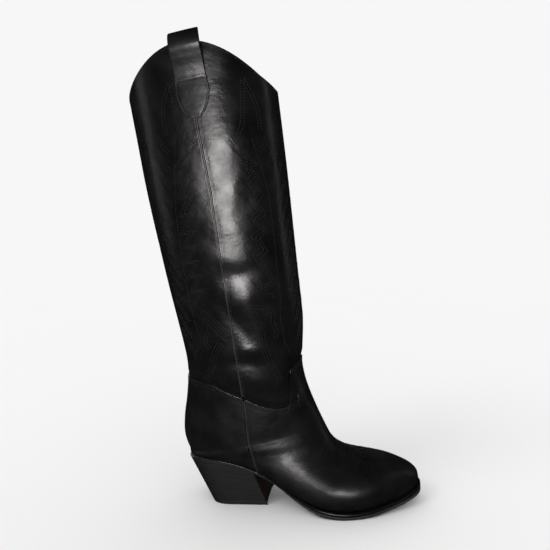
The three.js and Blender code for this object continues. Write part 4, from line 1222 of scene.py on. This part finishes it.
def strap_rows(side, line, tangents, outside):
    """Stitch rows on the strap's shield: round its edge and across its top."""
    face = STRAP_THICK / 2
    low, high = STRAP_TIP_Z + SHIELD_STITCH_ENDS[0], STRAP_SEWN_Z - SHIELD_STITCH_ENDS[1]
    on_shield = outside & (line[:, 1] < high) & (line[:, 1] > low)
    part, part_tangents = line[on_shield], tangents[on_shield]
    inset = strap_half_width(part[:, 1], np.full(len(part), True)) - SHIELD_STITCH_INSET
    lateral, medial = (strap_point(side, part, part_tangents, edge * inset[:, None], face)[:, 0]
                       for edge in (-1, 1))
    rows = [np.concatenate([lateral[::-1], medial])]
    across = np.linspace(-1, 1, 60)[None] * (STRAP_WIDTH / 2 - CROSS_ROW_INSET)
    for up in SHIELD_CROSS_ROWS:
        nearest = np.argmin(np.abs(line[:, 1] - STRAP_SEWN_Z - up) + 1000 * ~outside)
        one = slice(nearest, nearest + 1)
        rows.append(strap_point(side, line[one], tangents[one], across, face)[0])
    return rows


def pull_strap(name, side):
    """Strap folded over the rim, with its stitches pressed into the shield."""
    line, tangents = strap_path()
    outside = np.arange(len(line)) < np.argmax(line[:, 1])
    half_width = strap_half_width(line[:, 1], outside)
    across, up = edge_section(half_width, STRAP_THICK / 2, 36)
    rings = strap_point(side, line, tangents, across, up)
    rows = strap_rows(side, line, tangents, outside)
    on_face = np.abs(across) < half_width[:, None] - FACE_INSET
    drop = np.where(on_face, pressed(rings, np.concatenate(rows)), 0)
    direction = np.array([0.0, side, 0.0])
    rings = rings - drop[..., None] * direction * outside[:, None, None]
    solid(f"pull_strap_{name}_leather", *tube(rings), [strap_leather], LEATHER_SLOT, f"pull_strap_{name}")
    laid = [(row - direction * GROOVE_DEPTH, np.broadcast_to(direction, row.shape)) for row in rows]
    sew(f"pull_strap_{name}_stitches", laid, "fine", thread_material)


for name, side in SIDES.items():
    pull_strap(name, side)

# ---- Sole plates -------------------------------------------------------------

GAP = 0.3
PLATE_THICK = (3.45, 1.3)        # forepart, waist
WELT_MARGIN = (5.6, 1.5)
OUTSOLE_MARGIN = (4.8, 1.2)
WAIST_X, FOREPART_X = 35, 95
PLATE_TOE_REACH, PLATE_HEEL_REACH = 2.2, 0.5
TREAD_PITCH, TREAD_DEPTH = 2.2, 0.35
TREAD_SHARE = 0.45               # part of the sole's thickness that the tread takes
OUTLINE_ROUNDS = 6               # smoothing of the outline


def plate_outline(margins, count=420):
    """Loop round a sole plate in plan, from the heel along the lateral side and back along the medial side,
    with the station of each point."""
    u = np.linspace(HEEL_CORNER, TOE, 1200)
    forepart = smoothstep(WAIST_X, FOREPART_X, spline(BACK_X, u))
    margin = mix(margins[1], margins[0], forepart)
    reach = PLATE_TOE_REACH * smoothstep(TOE - 1.5, TOE, u)
    reach = reach - PLATE_HEEL_REACH * smoothstep(HEEL_CORNER + 0.5, HEEL_CORNER, u)
    x = spline(BACK_X, u) + reach
    halves = []
    for side, flat in ((LATERAL, FLAT_LATERAL), (MEDIAL, FLAT_MEDIAL)):
        y = side * (np.maximum(spline(flat, u), 0) + margin)
        line = np.stack([x, y, u], -1)
        at = lengths_along(line[:, :2])
        halves.append(between(np.linspace(0, at[-1], count), at, line))
    loop = np.concatenate([halves[0], halves[1][::-1]])
    for _ in range(OUTLINE_ROUNDS):
        loop = (np.roll(loop, 1, axis=0) + 2 * loop + np.roll(loop, -1, axis=0)) / 4
    return loop


def plate(margins, plates_above, section, teeth=0.0):
    """Vertices and triangles of a sole plate. section is a row of (inset, height share) from its top to its
    bottom face, and teeth deepens the lower edge into a fine tread."""
    loop = plate_outline(margins)
    u = loop[:, 2]
    forepart = smoothstep(WAIST_X, FOREPART_X, spline(BACK_X, u))
    thick = mix(PLATE_THICK[1], PLATE_THICK[0], forepart)
    top = spline(BACK_Z, u) - GAP - plates_above * (thick + GAP)
    low = np.maximum(top - thick, 0)
    tangent = unit(np.roll(loop, -1, axis=0)[:, :2] - np.roll(loop, 1, axis=0)[:, :2])
    inward = np.stack([-tangent[:, 1], tangent[:, 0]], -1)
    around = lengths_along(loop[:, :2])
    notch = teeth * (np.sin(around / TREAD_PITCH * 2 * np.pi) > 0)
    rings = []
    for inset, share in section:
        cut = inset + notch * (share < TREAD_SHARE)
        plan = loop[:, :2] + inward * cut[:, None]
        rings.append(np.column_stack([plan, mix(low, top, share)]))
    count, size = len(rings), len(loop)
    pair = np.arange(size // 2 - 1)
    cap = np.stack([pair, pair + 1, size - 2 - pair, size - 1 - pair], -1)
    quads = np.concatenate([ring_quads(count, size), cap[:, ::-1], cap + (count - 1) * size])
    return np.concatenate(rings), halved(quads)


WELT_SECTION = [(1.5, 1.0), (0.9, 0.995), (0.45, 0.95), (0.12, 0.82), (0, 0.62), (0, 0.42), (0.12, 0.2),
                (0.4, 0.06), (0.9, 0.0), (1.5, 0.0)]
OUTSOLE_SECTION = [(1.2, 1.0), (0.35, 1.0), (0.1, 0.95), (0, 0.85), (0, 0.5), (0.05, 0.42), (0.05, 0.12),
                   (0.25, 0.0), (1.2, 0.0)]

solid("welt_edge", *plate(WELT_MARGIN, 0, WELT_SECTION), [welt_material], "sole_leather", "welt_plate")
tread = plate(OUTSOLE_MARGIN, 1, OUTSOLE_SECTION, TREAD_DEPTH)
solid("outsole_tread", *tread, [sole_material], "sole_rubber", "outsole")

# ---- Heel --------------------------------------------------------------------

HEEL_BACK = [(0, -34.5), (61, -60.5)]            # height, x
HEEL_BREAST = [(0, 30), (42, 15.6)]
HEEL_HALF_WIDTH = [(0, 24), (58, 27.5)]
HEEL_SQUARENESS, HEEL_ROUND, HEEL_BREAST_SHARE = 3.0, 1.05, 0.95
BREAST_HOLLOW = 1.6
HEEL_SIDE_POINTS, BREAST_POINTS = 44, 12
TOP_LIFT_THICK = 5
HEEL_LIFT_COUNT, HEEL_LIFT_PITCH = 9, 5.6
HEEL_TOP_Z = 53.4                # flat top of the last lift, up to 4 mm below the sole at the back
LAYERS_PER_LIFT = 2
LAYER_LINE = 0.045               # depth of the line between two layers
# Place in a layer, and share of the line's depth there
LAYER_PROFILE = ((0.0, 1.0), (0.05, 0.35), (0.14, 0.0), (0.5, 0.0), (0.86, 0.0), (0.95, 0.35))
LIFT_GAP = 0.1
SEAT_CLEARANCE = 0.15            # between the sole and the heel, up to HEEL_TOP_Z

seat_u = np.linspace(HEEL_CORNER + 0.2, SEAT_END, 400)
seat_x = spline(BACK_X, seat_u)
seat_z = spline(BACK_Z, seat_u) - 2 * PLATE_THICK[1] - 2 * GAP - SEAT_CLEARANCE


def heel_ring(z, inset):
    """Loop round the heel at height z. Its last points are those on the breast."""
    back = lookup(HEEL_BACK, z) + inset
    breast = lookup(HEEL_BREAST, z) - inset
    seat = float(np.interp(-z, -seat_z, seat_x))
    cut = seat < breast
    front = min(seat, breast)
    half = lookup(HEEL_HALF_WIDTH, z) - inset
    reach = half * HEEL_ROUND
    x = mix(front, back, np.sin(np.linspace(0, np.pi / 2, HEEL_SIDE_POINTS)))
    inside = np.clip((back + reach - x) / reach, 0, 1)
    rounded = half * (1 - inside**HEEL_SQUARENESS) ** (1 / HEEL_SQUARENESS)
    taper = np.clip((x - back - reach) / max(breast - back - reach, 1), 0, 1)
    width = np.where(x > back + reach, half * mix(1, HEEL_BREAST_SHARE, taper), rounded)
    side = np.stack([x, -width, np.full_like(x, z)], -1)
    other = (side * (1, -1, 1))[::-1][1:]
    y = np.linspace(width[0], -width[0], BREAST_POINTS + 2)[1:-1]
    hollow = 0 if cut else BREAST_HOLLOW * (1 - (y / width[0]) ** 4)
    face = np.stack([front - hollow + 0 * y, y, np.full_like(y, z)], -1)
    return np.concatenate([side, other, face])


def heel_slice(name, node, low, high, layers, slot, materials):
    """Slice of the heel with a fine line round it between its layers. materials: sides, breast."""
    levels, insets = [], []
    pitch = (high - low) / layers
    for k in range(layers):
        for share, inset in LAYER_PROFILE:
            levels.append(low + pitch * (k + share))
            insets.append(inset * LAYER_LINE)
    levels.append(high)
    insets.append(LAYER_LINE)
    rings = np.array([heel_ring(z, inset) for z, inset in zip(levels, insets)])
    vertices, faces = tube(rings)
    size = rings.shape[1]
    place = faces % size
    on_breast = (place >= size - BREAST_POINTS - 1) | (place == 0)
    breast = (on_breast & (faces < len(rings) * size)).all(1)
    faces = outward(vertices, faces)
    piece = make_object(name, vertices, faces, materials, face_materials=breast.astype(int))
    place_piece(piece, slot, node)


for k in range(HEEL_LIFT_COUNT):
    low = TOP_LIFT_THICK + LIFT_GAP + k * HEEL_LIFT_PITCH
    high = min(low + HEEL_LIFT_PITCH - LIFT_GAP, HEEL_TOP_Z)
    layers = max(1, round((high - low) / HEEL_LIFT_PITCH * LAYERS_PER_LIFT))
    heel_slice(f"stacked_heel_lift_{k + 1}", f"heel_lift_{k + 1}", low, high, layers, "stacked_heel",
               [heel_side, heel_breast])
heel_slice("rubber_top_lift", "top_lift", 0.0, TOP_LIFT_THICK, 1, "sole_rubber",
           [top_lift_material, top_lift_material])

# ---- Materials of the CAD pieces that stay -----------------------------------

slot_of = {row["node"]: row["material_slot"] for row in frame["record"]["subparts"]}
for node, piece in frame["nodes"].items():
    material = hidden_materials.get(slot_of[node])
    if material is not None and not piece.hide_render:
        piece.data.materials.clear()
        piece.data.materials.append(material)

# ---- Stage, light and camera -------------------------------------------------

BACKDROP_WHITE = 0.93            # what the camera sees beyond the floor
FLOOR_ALBEDO = 0.894             # lit by the sky and the sun, it looks as bright as the backdrop
GLOSSY_WORLD = 0.012


def area_light(name, location, target, size, power, colour=(1, 1, 1)):
    """Light that is seen only in gloss."""
    data = bpy.data.lights.new(name, "AREA")
    data.shape = "RECTANGLE"
    data.size, data.size_y = size
    data.energy = power
    data.color = colour
    light = bpy.data.objects.new(name, data)
    light.location = location
    light.rotation_euler = (Vector(target) - Vector(location)).to_track_quat("-Z", "Y").to_euler()
    light.visible_diffuse = False
    scene.collection.objects.link(light)


def make_floor():
    m = Nodes("pale_floor", (FLOOR_ALBEDO,) * 3, 0.95, specular=0.0)
    m.link(m.ramp(m.noise(2, 2), (0.3, FLOOR_ALBEDO - 0.004), (0.7, FLOOR_ALBEDO + 0.004)), "Base Color")
    mesh = bpy.data.meshes.new("floor")
    reach = 30.0
    mesh.from_pydata([(-reach, -reach, 0), (reach, -reach, 0), (reach, reach, 0), (-reach, reach, 0)], [],
                     [(0, 1, 2, 3)])
    mesh.materials.append(m.material)
    floor = bpy.data.objects.new("floor", mesh)
    scene.collection.objects.link(floor)
    floor.visible_glossy = False


def make_world():
    """White studio for the camera and for soft light, dark where the leather mirrors it."""
    world = bpy.data.worlds.new("studio")
    scene.world = world
    world.use_nodes = True
    tree = world.node_tree
    output = tree.nodes["World Output"]
    soft = tree.nodes["Background"]
    mirrored = tree.nodes.new("ShaderNodeBackground")
    soft.inputs["Strength"].default_value = BACKDROP_WHITE
    mirrored.inputs["Strength"].default_value = GLOSSY_WORLD
    soft.inputs["Color"].default_value = mirrored.inputs["Color"].default_value = (1, 1, 1, 1)
    path = tree.nodes.new("ShaderNodeLightPath")
    switch = tree.nodes.new("ShaderNodeMixShader")
    tree.links.new(path.outputs["Is Glossy Ray"], switch.inputs["Fac"])
    tree.links.new(soft.outputs[0], switch.inputs[1])
    tree.links.new(mirrored.outputs[0], switch.inputs[2])
    tree.links.new(switch.outputs[0], output.inputs["Surface"])


make_floor()
make_world()
scene.view_settings.view_transform = "Standard"

sun_data = bpy.data.lights.new("soft_sun", "SUN")
sun_data.energy = 0.45
sun_data.angle = np.radians(25)
sun = bpy.data.objects.new("soft_sun", sun_data)
sun.rotation_euler = Vector((0.62, 0.42, -0.9)).to_track_quat("-Z", "Y").to_euler()
sun.visible_glossy = False
scene.collection.objects.link(sun)

area_light("window", (0.02, -1.6, 0.30), (0.0, 0.0, 0.25), (0.58, 0.5), 15, (1.0, 0.96, 0.95))
area_light("right_strip", (1.3, 0.25, 0.6), (0.05, 0, 0.25), (0.3, 1.2), 0.5)
area_light("left_strip", (-1.3, -0.3, 0.6), (-0.05, 0, 0.25), (0.4, 1.2), 0.8)
area_light("medial_window", (-0.5, 1.6, 0.35), (0.0, 0.0, 0.25), (0.7, 0.6), 8)

CAMERA_POSITION = Vector((0.159, -0.606, 0.347))
CAMERA_YAW, CAMERA_PITCH, CAMERA_ROLL = 10.2, 9.0, -3.6      # degrees
CAMERA_LENS = 38.7

yaw, pitch, roll = (float(np.radians(angle)) for angle in (CAMERA_YAW, CAMERA_PITCH, CAMERA_ROLL))
forward = Vector((-np.sin(yaw) * np.cos(pitch), np.cos(yaw) * np.cos(pitch), -np.sin(pitch)))
right = forward.cross(Vector((0, 0, 1))).normalized()
up = right.cross(forward)
turned = Matrix((
    right * np.cos(roll) + up * np.sin(roll),
    up * np.cos(roll) - right * np.sin(roll),
    -forward,
)).transposed()
camera_data = bpy.data.cameras.new("camera")
camera_data.lens = CAMERA_LENS
camera_data.sensor_width = 36
camera_data.clip_start = 0.01
camera = bpy.data.objects.new("camera", camera_data)
camera.matrix_world = Matrix.Translation(CAMERA_POSITION) @ turned.to_4x4()
scene.collection.objects.link(camera)
scene.camera = camera
